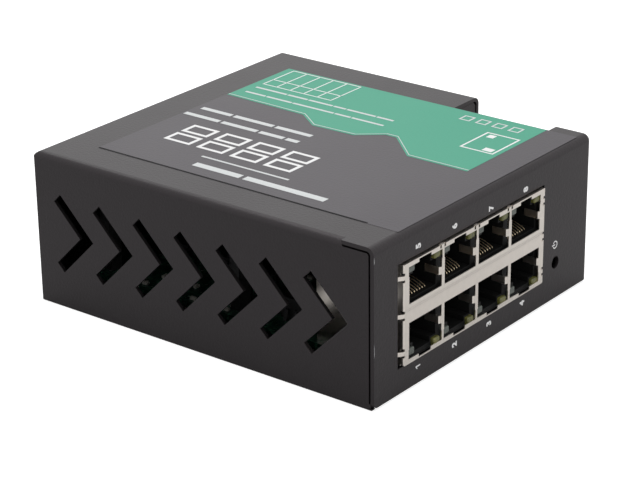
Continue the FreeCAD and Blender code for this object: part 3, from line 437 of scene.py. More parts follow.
board_join(soldered.outputs["Result"], board_shader.inputs["Base Color"])
board_join(pads.outputs["Value"], board_shader.inputs["Metallic"])
finishes["board_green"] = board
print("board nodes:", len(board_nodes))

# %% [markdown]
# ## Finishes on the solids
#
# Each solid names its finish in the record. Three of them look different from
# the others that share it: the long spacers and the power light are dark, and
# the small chip parts are pale ceramic with tinned ends. They get finishes of
# their own here.

# %% Every solid gets its finish
def give_finish(solid, material):
    """Put one material on every slot of a solid."""
    for place_holder in solid.material_slots:
        place_holder.material = material


for part in frame["record"]["subparts"]:
    give_finish(frame["nodes"][part["node"]], finishes[part["material_slot"]])
blackened = make_finish("blackened_steel", (0.02, 0.02, 0.021), (0.035, 0.035, 0.036),
                        roughness=0.4, grains=1500.0, bump_mm=0.004, metallic=0.6)
for node in ("long_spacers", "power_light"):
    give_finish(frame["nodes"][node], blackened)
ceramic = make_finish("ceramic_and_tin", (0.42, 0.4, 0.36), (0.62, 0.6, 0.56),
                      roughness=0.4, grains=1200.0, bump_mm=0.004)
give_finish(frame["nodes"]["chip_parts"], ceramic)

# %% [markdown]
# ## Softened edges on the folded case
#
# A sheet that is cut and folded never has a mathematically sharp edge. Powder
# paint rounds it further, and that thin line of light is what tells the eye
# that the case is painted steel. The solid could be rounded in CAD, but so
# small a radius on every slot is costly there, so a copy of the case is
# bevelled here and shown instead. Where the slotted wall meets its neighbours
# the joint reads as a dark line, so the copy's joint is opened a little.

# %% Bevelled copy of a solid
MERGE = 2e-6                     # metres: vertices nearer than this become one
FLAT = math.radians(0.6)         # faces that bend less than this are joined
SHARP = math.radians(40.0)       # edges that bend more than this are bevelled
SMOOTH = math.radians(32.0)      # edges that bend less than this are shaded smooth
FACE_WEIGHT = 90                 # how far large faces lead the shading


def softened_copy(node, name, body, slot, width_mm, steps=2, reshape=None):
    """A copy of a solid, reshaped if asked, with small rounded edges, shown in its place."""
    take(frame["nodes"][node])
    bpy.ops.object.duplicate()
    piece = bpy.context.object
    piece.name = name
    piece.data.name = name
    for label in list(piece.keys()):
        del piece[label]
    bpy.ops.object.parent_clear(type="CLEAR_KEEP_TRANSFORM")
    bpy.ops.mesh.customdata_custom_splitnormals_clear()
    edit(piece, "VERT")
    bpy.ops.mesh.select_all(action="SELECT")
    bpy.ops.mesh.remove_doubles(threshold=MERGE)
    bpy.ops.mesh.dissolve_limited(angle_limit=FLAT)
    if reshape:
        reshape(piece)
    bpy.ops.object.mode_set(mode="OBJECT")
    bevel = piece.modifiers.new("soft_edge", "BEVEL")
    bevel.width = width_mm * MM
    bevel.segments = steps
    bevel.limit_method = "ANGLE"
    bevel.angle_limit = SHARP
    bevel.use_clamp_overlap = True
    take(piece)
    bpy.ops.object.modifier_apply(modifier=bevel.name)
    bpy.ops.object.shade_smooth_by_angle(angle=SMOOTH)
    evened = piece.modifiers.new("even_shading", "WEIGHTED_NORMAL")
    evened.keep_sharp = True
    evened.weight = FACE_WEIGHT
    bpy.ops.object.modifier_apply(modifier=evened.name)
    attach(piece, body)
    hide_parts(node)
    give_finish(piece, finishes[slot])
    return piece


print("edges over", round(math.degrees(SHARP)), "degrees will be bevelled")

# %% The painted case
SEAM = 0.18 * MM
WALL_FACES = (NEAR_WALL, NEAR_WALL + 1.0 * MM)  # the slotted wall's outside and inside
JOINT_BACK, JOINT_FRONT = -2.0, -1.3            # its front edge, in mm from the front panel
RELIEF_END = -9.0                               # it is free of the label face as far as this
JOINT_LOW, JOINT_HIGH = 38.0, 38.7              # its upper edge, in mm from the underside
SLACK, CLEAR = 0.01, 0.1


def on_front_joint(place):
    """Whether a vertex belongs to the front edge of the slotted wall."""
    behind = (place.x - FRONT) / MM
    return (JOINT_BACK - SLACK < behind < JOINT_FRONT + SLACK
            and place.y < WALL_FACES[1] + SAME and place.z < (JOINT_HIGH + SLACK) * MM)


def on_upper_joint(place):
    """Whether a vertex belongs to the upper edge of the slotted wall, where that is free."""
    behind, height = (place.x - FRONT) / MM, place.z / MM
    return (RELIEF_END - SLACK < behind < JOINT_FRONT - CLEAR
            and JOINT_LOW - SLACK < height < JOINT_HIGH + SLACK
            and any(same(place.y, side) for side in WALL_FACES)
            and (behind > RELIEF_END + CLEAR or height > JOINT_HIGH - CLEAR))


def open_seam(piece):
    """Open the joint between the slotted wall and its neighbours, as paint makes it look."""
    slide(piece, on_front_joint, (-SEAM, 0, 0))
    slide(piece, on_upper_joint, (0, 0, -SEAM))


painted_case = softened_copy("housing_pan", "painted_case", "housing", "case_paint",
                             0.12, reshape=open_seam)
print("painted case:", len(painted_case.data.polygons), "faces")

# %% Bevelled copies of the other pieces that show
softened = [painted_case]
for node, name, body, slot, width in (
    ("housing_cover", "painted_cover", "housing", "case_paint", 0.1),
    ("clip_plate", "stamped_clip", "housing", "plated_steel", 0.12),
    ("clip_latch", "sliding_latch", "clip_latch", "plated_steel", 0.15),
    ("terminal_plug", "wire_plug", "terminal_plug", "terminal_green", 0.12),
    ("terminal_header", "plug_header", "housing", "terminal_green", 0.1),
):
    softened.append(softened_copy(node, name, body, slot, width))
for piece in softened:
    print(piece.name, len(piece.data.polygons), "faces")

# %% [markdown]
# ## The port block's shell
#
# The front plate of the shell is stamped from thin tinned sheet. Its windows
# run out almost to its edge, only a sliver of metal is left over each latch
# notch, and the webs between the windows are narrow. The solid has wider
# margins and webs there, so the copy's window corners are picked by their
# place and slid. The cuts beside each springy finger are opened up in the
# same way, by moving their corners away from the finger. The corner where the
# plate folds back is rounded by the press, so it gets a wider bevel than the
# rest.

# %% The shell's measures
shell_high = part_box("jack_shield")[1]
PLATE_MIDDLE = 20.0 * MM   # height of the plate's middle, between the rows of sockets
SHELL_NEAR, SHELL_FAR = NEAR_WALL + 10.43 * MM, NEAR_WALL + 68.93 * MM
PLATE_DEEP = 0.33 * MM     # vertices nearer than this to the front are the plate's
WINDOW_MOVES = (           # height from the plate's middle and shift outwards, in mm
    (8.0, 1.1),            # the windows' shoulders
    (10.4, 1.1),           # the windows' ends
    (11.25, 1.02),         # the latch notches
)
WEB_FROM, WEB_ZONE = 24.6, 0.6  # the first window's far edges lie in this strip, in mm
WEB_REACH = 11.6 * MM           # and no further than this from the plate's middle
WEB_SHIFT = 0.4 * MM
FINGER_PITCH_Z, FINGER_PITCH_Y = 9.4, 13.95
FINGER_STEPS = ((0.65, 0.52), (0.9, 1.15))  # from a finger's middle to its cut, old and new
FINGER_TOP = 31.7 * MM
FINGER_ZONE = 0.9 * MM     # the cuts at the sides lie this near to an edge
SHELL_FOOT = 7.4           # height of the shell's lower edge
CHAMFER, CHAMFER_CUT = 1.0, 0.7  # size of its corner cuts, and how much smaller they get
SLIT_END, SLIT_DEEP = 0.8 * MM, 0.35 * MM   # how far the slits run in, and back
SLIT_LESS, SLIT_MORE = 0.37 * MM, 0.65 * MM  # how much less far in, and further back
FOLD_RADIUS, FOLD_STEPS = 0.4 * MM, 6
print("shell front", round(shell_high.x, 5), "width", round(SHELL_FAR - SHELL_NEAR, 5))


# %% Shell with slender margins
def move_windows(piece):
    """Slide the windows and latch notches outwards."""
    for height, shift in WINDOW_MOVES:
        for way in (1, -1):
            level = PLATE_MIDDLE + way * height * MM
            slide(piece, lambda place: same(place.z, level) and place.x > shell_high.x - PLATE_DEEP,
                  (0, 0, way * shift * MM))


def thin_webs(piece):
    """Widen the windows of all but the last column towards their neighbours."""
    for column in range(COLUMNS - 1):
        start = NEAR_WALL + (WEB_FROM + PORT_PITCH * column) * MM
        slide(piece, lambda place: start < place.y < start + WEB_ZONE * MM
              and abs(place.z - PLATE_MIDDLE) < WEB_REACH and place.x > shell_high.x - PLATE_DEEP,
              (0, WEB_SHIFT, 0))


def open_finger_cuts(piece):
    """Widen the cuts beside the fingers of both sides and of the top."""
    near, far = SHELL_NEAR + FINGER_ZONE, SHELL_FAR - FINGER_ZONE
    for old, new in FINGER_STEPS:
        for way in (1, -1):
            by = way * (new - old) * MM
            for index in (-1, 0, 1):
                level = PLATE_MIDDLE + (FINGER_PITCH_Z * index + way * old) * MM
                slide(piece, lambda place: same(place.z, level) and not near < place.y < far,
                      (0, 0, by))
                line = (SHELL_NEAR + SHELL_FAR) / 2 + (FINGER_PITCH_Y * index + way * old) * MM
                slide(piece, lambda place: same(place.y, line) and place.z > FINGER_TOP, (0, by, 0))


def square_lower_corners(piece):
    """Make the cut at the plate's lower corners smaller."""
    for side, way in ((SHELL_NEAR, 1), (SHELL_FAR, -1)):
        slide(piece, lambda place: same(place.y, side)
              and same(place.z, (SHELL_FOOT + CHAMFER) * MM), (0, 0, -CHAMFER_CUT * MM))
        inner = side + way * CHAMFER * MM
        slide(piece, lambda place: same(place.y, inner) and same(place.z, SHELL_FOOT * MM),
              (0, -way * CHAMFER_CUT * MM, 0))


def round_near_fold(piece):
    """Let the slits run further back and less far in at the near fold, and round it."""
    cut_end = shell_high.x - SLIT_DEEP
    slide(piece, lambda place: same(place.x, cut_end) and place.y < SHELL_NEAR + 0.5 * MM,
          (-SLIT_MORE, 0, 0))
    slide(piece, lambda place: same(place.y, SHELL_NEAR + SLIT_END)
          and place.x > shell_high.x - PLATE_DEEP, (0, -SLIT_LESS, 0))
    pick_points(piece, lambda place: same(place.y, SHELL_NEAR) and same(place.x, shell_high.x))
    bpy.ops.mesh.select_mode(type="EDGE")
    bpy.ops.mesh.bevel(offset=FOLD_RADIUS, segments=FOLD_STEPS, affect="EDGES")


def slender_margins(piece):
    """All the changes to the shell, one after another."""
    for change in (move_windows, thin_webs, open_finger_cuts,
                   square_lower_corners, round_near_fold):
        change(piece)


shell = softened_copy("jack_shield", "tinned_shell", "housing", "tin_plate",
                      0.05, 1, slender_margins)
print("tinned shell:", len(shell.data.polygons), "faces")

# %% [markdown]
# ## Moulded sockets and light pipes
#
# The black moulding stands a little behind the plate, in its shadow, which
# makes the windows look deep. In the corners of each socket two clear bars
# bring the light of small lamps to the front, each in a shroud of its own.
# The left-hand bars are wide. The right-hand ones sit close in their corners,
# so bars and shrouds are slid there together, and no empty pocket is left.

# %% Moulded body set back behind the shell
body_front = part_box("jack_housing")[1].x
SET_BACK = 1.0 * MM
PIPE_ASIDE = 0.75 * MM
SHROUD_FROM, SHROUD_WIDE, RIB_ZONE = 21.6, 3.3 * MM, 0.7 * MM
SHROUD_LEVELS = (          # height from the underside and shift upwards, in mm
    (29.05, 0.55), (28.65, 0.55), (11.35, -1.35), (10.95, -1.35),
)


def set_back(piece):
    """Draw the moulding back, with smaller shrouds round its right-hand light pipes."""
    slide(piece, lambda place: place.x > body_front - SAME, (-SET_BACK, 0, 0))
    for column in range(COLUMNS):
        start = NEAR_WALL + (SHROUD_FROM + PORT_PITCH * column) * MM
        for level, shift in SHROUD_LEVELS:
            slide(piece, lambda place: start < place.y < start + SHROUD_WIDE
                  and same(place.z, level * MM), (0, 0, shift * MM))
        slide(piece, lambda place: start < place.y < start + RIB_ZONE, (0, PIPE_ASIDE, 0))


sockets = softened_copy("jack_housing", "moulded_sockets", "housing", "black_plastic",
                        0.06, 1, set_back)
print("moulded sockets:", len(sockets.data.polygons), "faces")

# %% Left-hand light windows
pipes_low, pipes_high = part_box("light_pipes_left")
PIPE_SQUARE = 2.2            # a left-hand bar's width and height, in mm
WIDER, LOWER = 0.7 * MM, 0.4 * MM


def wide_window(piece):
    """Widen the left-hand light pipes towards the middle of their sockets."""
    for column in range(COLUMNS):
        inner = pipes_low.y + (PIPE_SQUARE + PORT_PITCH * column) * MM
        slide(piece, lambda place: same(place.y, inner), (0, WIDER, 0))
    for way in (1, -1):
        inner = PLATE_MIDDLE + way * (pipes_high.z - PLATE_MIDDLE - PIPE_SQUARE * MM)
        slide(piece, lambda place: same(place.z, inner), (0, 0, way * LOWER))


left_windows = softened_copy("light_pipes_left", "left_windows", "housing", "pipe_green",
                             0.4, 4, wide_window)
print("left-hand windows:", len(left_windows.data.polygons), "faces")

# %% Right-hand light windows
PIPE_LEVELS = (              # height from the underside and shift upwards, in mm
    (31.25, 0.65), (29.05, 0.55), (10.95, -1.35), (8.75, -1.15),
)
PIPE_FORWARD = 0.25 * MM


def seat_right(piece):
    """Bring the right-hand light pipes forward and out into the corners of their sockets."""
    for level, shift in PIPE_LEVELS:
        slide(piece, lambda place: same(place.z, level * MM), (0, PIPE_ASIDE, shift * MM))
    slide(piece, lambda place: place.x > FRONT, (PIPE_FORWARD, 0, 0))


right_windows = softened_copy("light_pipes_right", "right_windows", "housing", "pipe_yellow",
                              0.5, 4, seat_right)
print("right-hand windows:", len(right_windows.data.polygons), "faces")

# %% [markdown]
# ## Contact wires
#
# Eight gilded wires lie in each socket. Each starts low at the front with a
# short steep bend and climbs towards the back, so that a plug presses it
# down. One wire is drawn: a small rectangle extruded from bend to bend. Two
# arrays then repeat it across a socket and from socket to socket, and a
# mirrored copy serves the other row, where the wires hang from the top.

# %% Upper contact wires
wires_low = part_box("contacts_upper_row")[0]
WIRE_WIDE, WIRE_THICK = 0.21 * MM, 0.2 * MM
WIRES, WIRE_PITCH = 8, 1.016
TIP_BEHIND = 1.9             # from the front panel to a wire's tip, in mm
SOLID_WIRE = 0.35            # width of the solid's wire, whose middle is kept
WIRE_STEPS = (               # run backwards and rise from bend to bend, in mm
    (-0.16, 0.26), (-0.8, 0.44), (-1.5, 0.64), (-1.6, 0.36), (-2.5, 0.25), (-3.64, 0.18),
)
wire_tip = Vector((FRONT - TIP_BEHIND * MM, wires_low.y + SOLID_WIRE / 2 * MM, wires_low.z))
let_go()
bpy.ops.mesh.primitive_plane_add(size=WIRE_WIDE, location=wire_tip,
                                 rotation=(0, math.radians(90.0), 0))
upper_wires = new_piece("upper_contact_wires")
settle(upper_wires)
edit(upper_wires)
bpy.ops.mesh.select_all(action="SELECT")
bpy.ops.transform.resize(value=(1.0, 1.0, WIRE_THICK / WIRE_WIDE), center_override=wire_tip)
for run, rise in WIRE_STEPS:
    bpy.ops.mesh.extrude_region_move(TRANSFORM_OT_translate={"value": (run * MM, 0, rise * MM)})
face_outwards()
take(upper_wires)
for title, count, step in (("across_socket", WIRES, WIRE_PITCH),
                           ("along_row", COLUMNS, PORT_PITCH)):
    row = upper_wires.modifiers.new(title, "ARRAY")
    row.count = count
    row.use_relative_offset = False
    row.use_constant_offset = True
    row.constant_offset_displace = (0, step * MM, 0)
    bpy.ops.object.modifier_apply(modifier=row.name)
upper_wires.data.materials.append(finishes["contact_gold"])
print("upper wires:", len(upper_wires.data.polygons), "faces")

# %% Lower contact wires
take(upper_wires)
bpy.ops.object.duplicate()
lower_wires = new_piece("lower_contact_wires")
edit(lower_wires)
bpy.ops.mesh.select_all(action="SELECT")
bpy.ops.transform.resize(value=(1.0, 1.0, -1.0), center_override=(0, 0, PLATE_MIDDLE))
face_outwards()
for wires, node in ((upper_wires, "contacts_upper_row"), (lower_wires, "contacts_lower_row")):
    settle(wires)
    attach(wires, "housing")
    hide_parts(node)
lowest = min(point.co.z for point in lower_wires.data.vertices)
print("lower wires reach down to", round(lowest, 5))

# %% [markdown]
# ## The printed overlay
#
# The label is a film of polyester. The solid is a little thick for a film, so
# its top is let down to a few hundredths of a millimetre above the paint, and
# its front end is drawn on to the bend. Everything printed is then set on
# that height.

# %% Overlay film
label_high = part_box("label_overlay")[1]
FILM = 0.04 * MM
TO_BEND = 8.6 * MM
LABEL_TOP = pan_high.z + FILM


def thin_film(piece):
    """Let the overlay's top down to the thickness of a film, and draw its front end on."""
    slide(piece, lambda place: place.z > label_high.z - SAME, (0, 0, LABEL_TOP - label_high.z))
    slide(piece, lambda place: place.x > label_high.x - SAME, (TO_BEND, 0, 0))


overlay = softened_copy("label_overlay", "overlay_film", "housing", "label_print",
                        0.015, 1, thin_film)
print("overlay film:", len(overlay.data.polygons), "faces, top", round(LABEL_TOP, 5))

# %% [markdown]
# ## Screws with their recesses
#
# A screw is known by the shape that the driver fits. The blank is a cylinder
# whose lower end is drawn in to a shank. A tapered bar, pressed in once for a
# slot or twice for a cross, is taken away from its head with a boolean. One
# screw of each kind is made, turned to face outwards, and copied.

# %% Screw maker
DOWNWARDS = -0.9             # a face whose normal is lower than this faces down
TAPER = 0.45                 # lower end of the pressed bar, as a share of its upper end
DEEP_SHARE = 0.9             # its height as a share of its length, half of which goes in


def screw_blank(name, head_r, head_deep, shank_r, length, bar_length, bar_width, bar_turns):
    """A screw that faces up at the origin, with a slot or a cross in its head."""
    let_go()
    bpy.ops.mesh.primitive_cylinder_add(vertices=36, radius=head_r * MM, depth=head_deep * MM,
                                        location=(0, 0, -head_deep / 2 * MM))
    blank = settle(new_piece(name))
    edit(blank)
    pick_faces(blank, lambda middle, normal: normal.z < DOWNWARDS)
    bpy.ops.mesh.extrude_region_move(TRANSFORM_OT_translate={"value": (0, 0, 0)})
    narrower = shank_r / head_r
    bpy.ops.transform.resize(value=(narrower, narrower, 1.0), center_override=(0, 0, 0))
    shank = (0, 0, (head_deep - length) * MM)
    bpy.ops.mesh.extrude_region_move(TRANSFORM_OT_translate={"value": shank})
    for turn in bar_turns:
        let_go()
        bpy.ops.mesh.primitive_cube_add(size=MM, location=(0, 0, 0),
                                        rotation=(0, 0, math.radians(turn)))
        bar_tool = new_piece("recess_bar")
        bar_tool.scale = (bar_length, bar_width, bar_length * DEEP_SHARE)
        settle(bar_tool)
        edit(bar_tool)
        pick_faces(bar_tool, lambda middle, normal: normal.z < DOWNWARDS)
        bpy.ops.transform.resize(value=(TAPER, TAPER, 1.0), center_override=(0, 0, 0))
        pressed = blank.modifiers.new("recess", "BOOLEAN")
        pressed.operation = "DIFFERENCE"
        pressed.solver = "EXACT"
        pressed.object = bar_tool
        take(blank)
        bpy.ops.object.modifier_apply(modifier=pressed.name)
        bpy.data.objects.remove(bar_tool, do_unlink=True)
    return blank


def set_screws(blank, places, turn, body, slot, node):
    """Copies of a screw at their places, joined into one piece that stands for the CAD solids."""
    copies = []
    for place in places:
        take(blank)
        bpy.ops.object.duplicate()
        screw = bpy.context.object
        screw.rotation_euler = turn
        screw.location = place
        copies.append(settle(screw))
    bpy.data.objects.remove(blank, do_unlink=True)
    take(copies[0])
    for screw in copies:
        screw.select_set(True)
    bpy.ops.object.join()
    screws = new_piece("recessed_" + node)
    edit(screws, "EDGE")
    face_outwards()
    take(screws)
    bpy.ops.object.shade_smooth_by_angle(angle=math.radians(30.0))
    screws.data.materials.append(finishes[slot])
    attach(screws, body)
    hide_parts(node)
    return screws


print("screw maker ready")

# %% Cover and clip screws
HEAD_EDGE = 2.9 * MM         # from the outermost point of a head to the screw's axis
COUNTERSUNK = {"head_r": 2.88, "head_deep": 0.9, "shank_r": 1.45,
               "bar_length": 2.7, "bar_width": 0.62, "bar_turns": (0, 90)}
low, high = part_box("cover_screws")
cover_places = [Vector((x, y, low.z)) for x in (low.x + HEAD_EDGE, high.x - HEAD_EDGE)
                for y in (low.y + HEAD_EDGE, high.y - HEAD_EDGE)]
blank = screw_blank("cover_screw", length=high.z / MM, **COUNTERSUNK)
cover_screws = set_screws(blank, cover_places, (math.radians(180.0), 0, 0),
                          "housing", "plated_steel", "cover_screws")
low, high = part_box("clip_screws")
clip_places = [Vector((low.x, y, (low.z + high.z) / 2))
               for y in (low.y + HEAD_EDGE, high.y - HEAD_EDGE)]
blank = screw_blank("clip_screw", length=(high.x - low.x) / MM, **COUNTERSUNK)
clip_screws = set_screws(blank, clip_places, (0, math.radians(-90.0), 0),
                         "housing", "plated_steel", "clip_screws")
print("countersunk screws:", len(cover_places) + len(clip_places))

# %% Clamp screws
POLES, POLE_PITCH, CLAMP_EDGE = 5, 5.08, 1.8
low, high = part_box("clamp_screws")
clamp_rows = [low.x + (CLAMP_EDGE + POLE_PITCH * index) * MM for index in range(POLES)]
clamp_places = [Vector((x, (low.y + high.y) / 2, high.z)) for x in clamp_rows]
blank = screw_blank("clamp_screw", head_r=1.78, head_deep=1.4, shank_r=1.3,
                    length=(high.z - low.z) / MM, bar_length=4.4, bar_width=0.6, bar_turns=(0,))
clamp_screws = set_screws(blank, clamp_places, (0, 0, 0),
                          "terminal_plug", "plated_steel", "clamp_screws")
for screws in (cover_screws, clip_screws, clamp_screws):
    print(screws.name, len(screws.data.polygons), "faces")

# %% [markdown]
# ## The latch spring
#
# A compression spring is round wire wound on a mandrel. The solid's coil is
# wound from six-sided wire, so a round one stands for it here. A small circle
# is set beside the axis, and the Screw modifier winds it along. When the latch
# is pulled, the real coil is pressed against its fixed end, and it keeps seven
# elevenths of its length. The round coil here is fixed to the case's body and
# is not pressed.

# %% Round-wire spring
coil_low, coil_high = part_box("latch_spring")
coil_middle = (coil_low + coil_high) / 2
COIL_WIRE = 0.3 * MM         # radius of the wire
COIL_RADIUS = 1.78 * MM      # from the axis to the middle of the wire
COIL_TURNS, STEPS_PER_TURN = 4, 28
let_go()
coil_start = (coil_middle.x, coil_low.y + COIL_WIRE, coil_middle.z)
bpy.ops.mesh.primitive_circle_add(vertices=12, radius=COIL_WIRE, fill_type="NOTHING",
                                  location=coil_start)
coil = new_piece("round_wire_spring")
edit(coil, "VERT")
bpy.ops.mesh.select_all(action="SELECT")
bpy.ops.transform.translate(value=(COIL_RADIUS, 0, 0))
take(coil)
wound = coil.modifiers.new("wound", "SCREW")
wound.axis = "Y"
wound.screw_offset = (coil_high.y - coil_low.y - 2 * COIL_WIRE) / COIL_TURNS
wound.iterations = COIL_TURNS
wound.steps = STEPS_PER_TURN
wound.render_steps = STEPS_PER_TURN
bpy.ops.object.modifier_apply(modifier=wound.name)
edit(coil, "EDGE")
bpy.ops.mesh.select_non_manifold()
bpy.ops.mesh.fill_holes(sides=0)
face_outwards()
settle(coil)
bpy.ops.object.shade_smooth_by_angle(angle=math.radians(50.0))
coil.data.materials.append(finishes["spring_steel"])
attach(coil, "housing")
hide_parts("latch_spring")
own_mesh(coil)
print("spring:", len(coil.data.polygons), "faces")

# %% [markdown]
# ## Drawing a flat shape
#
# Screen print is a film of ink a few hundredths of a millimetre thick. It
# could be painted into a material, but real geometry stays crisp at any
# distance. The outline is drawn as one would by hand: a plane collapsed to a
# single point, extruded from corner to corner, closed, filled, and then given
# the thickness of the ink.

# %% Ink shape helper
INK = 0.03 * MM


def on_label(x, y, layer=0):
    """A place on the label, in mm from the front panel and the slotted wall."""
    return Vector((FRONT + x * MM, NEAR_WALL + y * MM, LABEL_TOP + layer * INK))


def front_rectangle(y0, y1, z0, z1, x=0.0):
    """The corners of a rectangle that stands x mm in front of the front panel."""
    return [spot(x, y, z) for y, z in ((y0, z0), (y1, z0), (y1, z1), (y0, z1))]


def thin_shape(name, points, thickness, material):
    """A thin film with the given corners, grown by its thickness."""
    let_go()
    bpy.ops.mesh.primitive_plane_add(size=MM, location=points[0])
    piece = new_piece(name)
    edit(piece, "VERT")
    bpy.ops.mesh.select_all(action="SELECT")
    bpy.ops.mesh.merge(type="CENTER")
    for start, end in zip(points, points[1:] + points[:1]):
        bpy.ops.mesh.extrude_region_move(TRANSFORM_OT_translate={"value": end - start})
    bpy.ops.mesh.select_all(action="SELECT")
    bpy.ops.mesh.remove_doubles(threshold=1e-6)
    bpy.ops.mesh.edge_face_add()
    bpy.ops.mesh.extrude_region_move(TRANSFORM_OT_translate={"value": thickness})
    face_outwards()
    settle(piece)
    piece.data.materials.append(material)
    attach(piece, "housing")
    return piece


def ink_shape(name, outline, material, layer=0):
    """A film of ink on the label."""
    return thin_shape(name, [on_label(x, y, layer) for x, y in outline], (0, 0, INK), material)


print("ink is", INK / MM, "mm thick")

# %% [markdown]
# ## The coloured field on the label
#
# Half of the label is a green field whose lower edge steps up and down like a
# graph, with a hairline that follows it just inside. The hairline is the same
# path, moved, with a return path a quarter of a millimetre away. A dark bar
# along the long edge of the film is a painted shadow of that edge.

# %% Inks, and a painted shadow
ink_green = make_finish("green_ink", (0.027, 0.268, 0.17), (0.038, 0.302, 0.193),
                        roughness=0.46, grains=1900.0, bump_mm=0.012, sockets=(("IOR", 1.4),))
ink_white = make_finish("white_ink", (0.68, 0.68, 0.68), (0.76, 0.76, 0.76),
                        roughness=0.42, grains=5200.0, bump_mm=0.004)
ink_pale = make_finish("pale_ink", (0.5, 0.52, 0.52), (0.58, 0.6, 0.6),
                       roughness=0.42, grains=5200.0, bump_mm=0.004)
# painted shadow: a near-black for the shade along the film's near edge
shade_paint = make_finish("painted_shade", (0.003, 0.003, 0.003), (0.006, 0.006, 0.006),
                       roughness=0.6, grains=5200.0, bump_mm=0.004,
                       sockets=(("Specular IOR Level", 0.1),))
print("inks:", ink_green.name, ink_white.name, ink_pale.name, shade_paint.name)

# %% Green field, with a painted edge shadow
ON_FILM, ON_FIELD = 0, 1     # layers of ink: on the film, and on the green field
FIELD_BACK, FIELD_FRONT, FIELD_FAR = -92.4, -10.1, 86.3
HAIRLINE_FROM, HAIRLINE_TO = 0.7, 0.95
STEP_PATH = [(FIELD_BACK, 60.2), (-66.5, 59.5), (-59.7, 54.6), (-47.0, 55.0), (-40.75, 59.9),
             (-37.4, 59.9), (-27.7, 51.0), (FIELD_FRONT, 51.0)]
field_outline = [(FIELD_BACK, FIELD_FAR)] + STEP_PATH + [(FIELD_FRONT, FIELD_FAR)]
green_field = ink_shape("green_field", field_outline, ink_green)
inner_path = [(x, y + HAIRLINE_FROM) for x, y in STEP_PATH]
outer_path = [(x, y + HAIRLINE_TO) for x, y in reversed(STEP_PATH)]
ink_shape("field_hairline", inner_path + outer_path, ink_pale, ON_FIELD)
# painted shadow: this dark bar stands for the shade under the film's near edge
SHADOW_BAR = [(-92.5, 11.05), (FIELD_FRONT, 11.05), (FIELD_FRONT, 11.5), (-92.5, 11.5)]
ink_shape("overlay_shadow_bar", SHADOW_BAR, shade_paint)
print("green field corners:", len(green_field.data.vertices) // 2)

# %% [markdown]
# ## Generic print
#
# The label carries a small pin table, lines of fine print and a socket
# diagram. They are set here as plain fields and bars, so that the layout and
# the weight of the print are right while nothing can be read.

# %% Bars and frames
def bar(name, x0, x1, y0, y1, material, layer=0):
    """A rectangular bar of ink."""
    return ink_shape(name, [(x0, y0), (x1, y0), (x1, y1), (x0, y1)], material, layer)


def open_frame(name, x0, x1, y0, y1, line, material, layer=0):
    """Four bars round an open rectangle."""
    return [bar(name + "_left", x0, x0 + line, y0, y1, material, layer),
            bar(name + "_right", x1 - line, x1, y0, y1, material, layer),
            bar(name + "_low", x0 + line, x1 - line, y0, y0 + line, material, layer),
            bar(name + "_high", x0 + line, x1 - line, y1 - line, y1, material, layer)]


WORD_GAP = 0.55              # as a share of the height


def word_line(name, x0, x1, y, height, lengths, material, layer=0):
    """A row of bars with gaps like those between words, from x1 towards x0."""
    gap = height * WORD_GAP
    at = x1
    pieces = []
    for index, share in enumerate(lengths):
        length = share * (x1 - x0 - gap * (len(lengths) - 1)) / sum(lengths)
        pieces.append(bar(f"{name}_{index}", at - length, at, y, y + height, material, layer))
        at -= length + gap
    return pieces


print("helpers for bars, frames and word lines ready")

# %% Pin table
TABLE_X = (-90.0, -85.48, -80.96, -76.44, -71.92, -67.4)
TABLE_Y = (72.3, 76.6, 85.4)
HALF_LINE = 0.17
table_lines = []
for index, x in enumerate(TABLE_X):
    table_lines.append(bar(f"table_upright_{index}", x - HALF_LINE, x + HALF_LINE,
                           TABLE_Y[0], TABLE_Y[-1], ink_white, ON_FIELD))
for index, y in enumerate(TABLE_Y):
    table_lines.append(bar(f"table_level_{index}", TABLE_X[0] - HALF_LINE, TABLE_X[-1] + HALF_LINE,
                           y - HALF_LINE, y + HALF_LINE, ink_white, ON_FIELD))
print("table bars:", len(table_lines))

# %% Fine print
WORD_LINES = (               # name, x from and to, y, height, lengths of the words, layer
    ("note_a", -89.9, -45.0, 68.8, 0.8, (4, 7, 3, 6, 5, 8), ON_FIELD),
    ("note_b", -89.9, -45.0, 64.5, 0.8, (6, 3, 8, 5, 4), ON_FIELD),
    ("type_a", -90.8, -55.0, 47.5, 1.6, (8, 9, 7), ON_FILM),
    ("type_b", -92.0, -55.0, 42.2, 1.6, (2, 4, 6, 6), ON_FILM),
    ("type_c", -68.0, -41.0, 21.2, 0.7, (1,), ON_FILM),
    ("type_d", -66.0, -26.0, 15.4, 2.2, (5, 3), ON_FILM),
)
print_lines = []
for name, x0, x1, y, height, lengths, layer in WORD_LINES:
    print_lines += word_line(name, x0, x1, y, height, lengths, ink_pale, layer)
print("word bars:", len(print_lines))

# %% Socket diagrams
MARK_X, MARK_Y, MARK_STEP, MARK_SIDE, MARK_LINE = -32.6, 80.2, 4.9, 3.2, 0.45
PICTURE_X, PICTURE_Y, PICTURE_LINE = -84.0, 25.5, 1.0
PICTURE_STEP_X, PICTURE_STEP_Y = 10.6, 6.6
PICTURE_LONG, PICTURE_WIDE = 8.4, 5.4
diagram = open_frame("socket_diagram", -21.2, -11.4, 63.9, 76.4, 0.5, ink_white, ON_FIELD)
for index in range(4):
    x = MARK_X + index * MARK_STEP
    diagram += open_frame(f"small_mark_{index}", x, x + MARK_SIDE, MARK_Y, MARK_Y + MARK_SIDE,
                          MARK_LINE, ink_pale, ON_FIELD)
for name, x0, x1, y0, y1 in (("light", -19.6, -17.6, 73.2, 75.2),
                             ("base", -15.4, -12.6, 65.0, 67.0)):
    diagram.append(bar("socket_diagram_" + name, x0, x1, y0, y1, ink_white, ON_FIELD))
for row in range(2):
    for column in range(COLUMNS):
        x = PICTURE_X + column * PICTURE_STEP_X
        y = PICTURE_Y + row * PICTURE_STEP_Y
        diagram += open_frame(f"port_picture_{row}_{column}", x, x + PICTURE_LONG,
                              y, y + PICTURE_WIDE, PICTURE_LINE, ink_white)
print("diagram bars:", len(diagram))

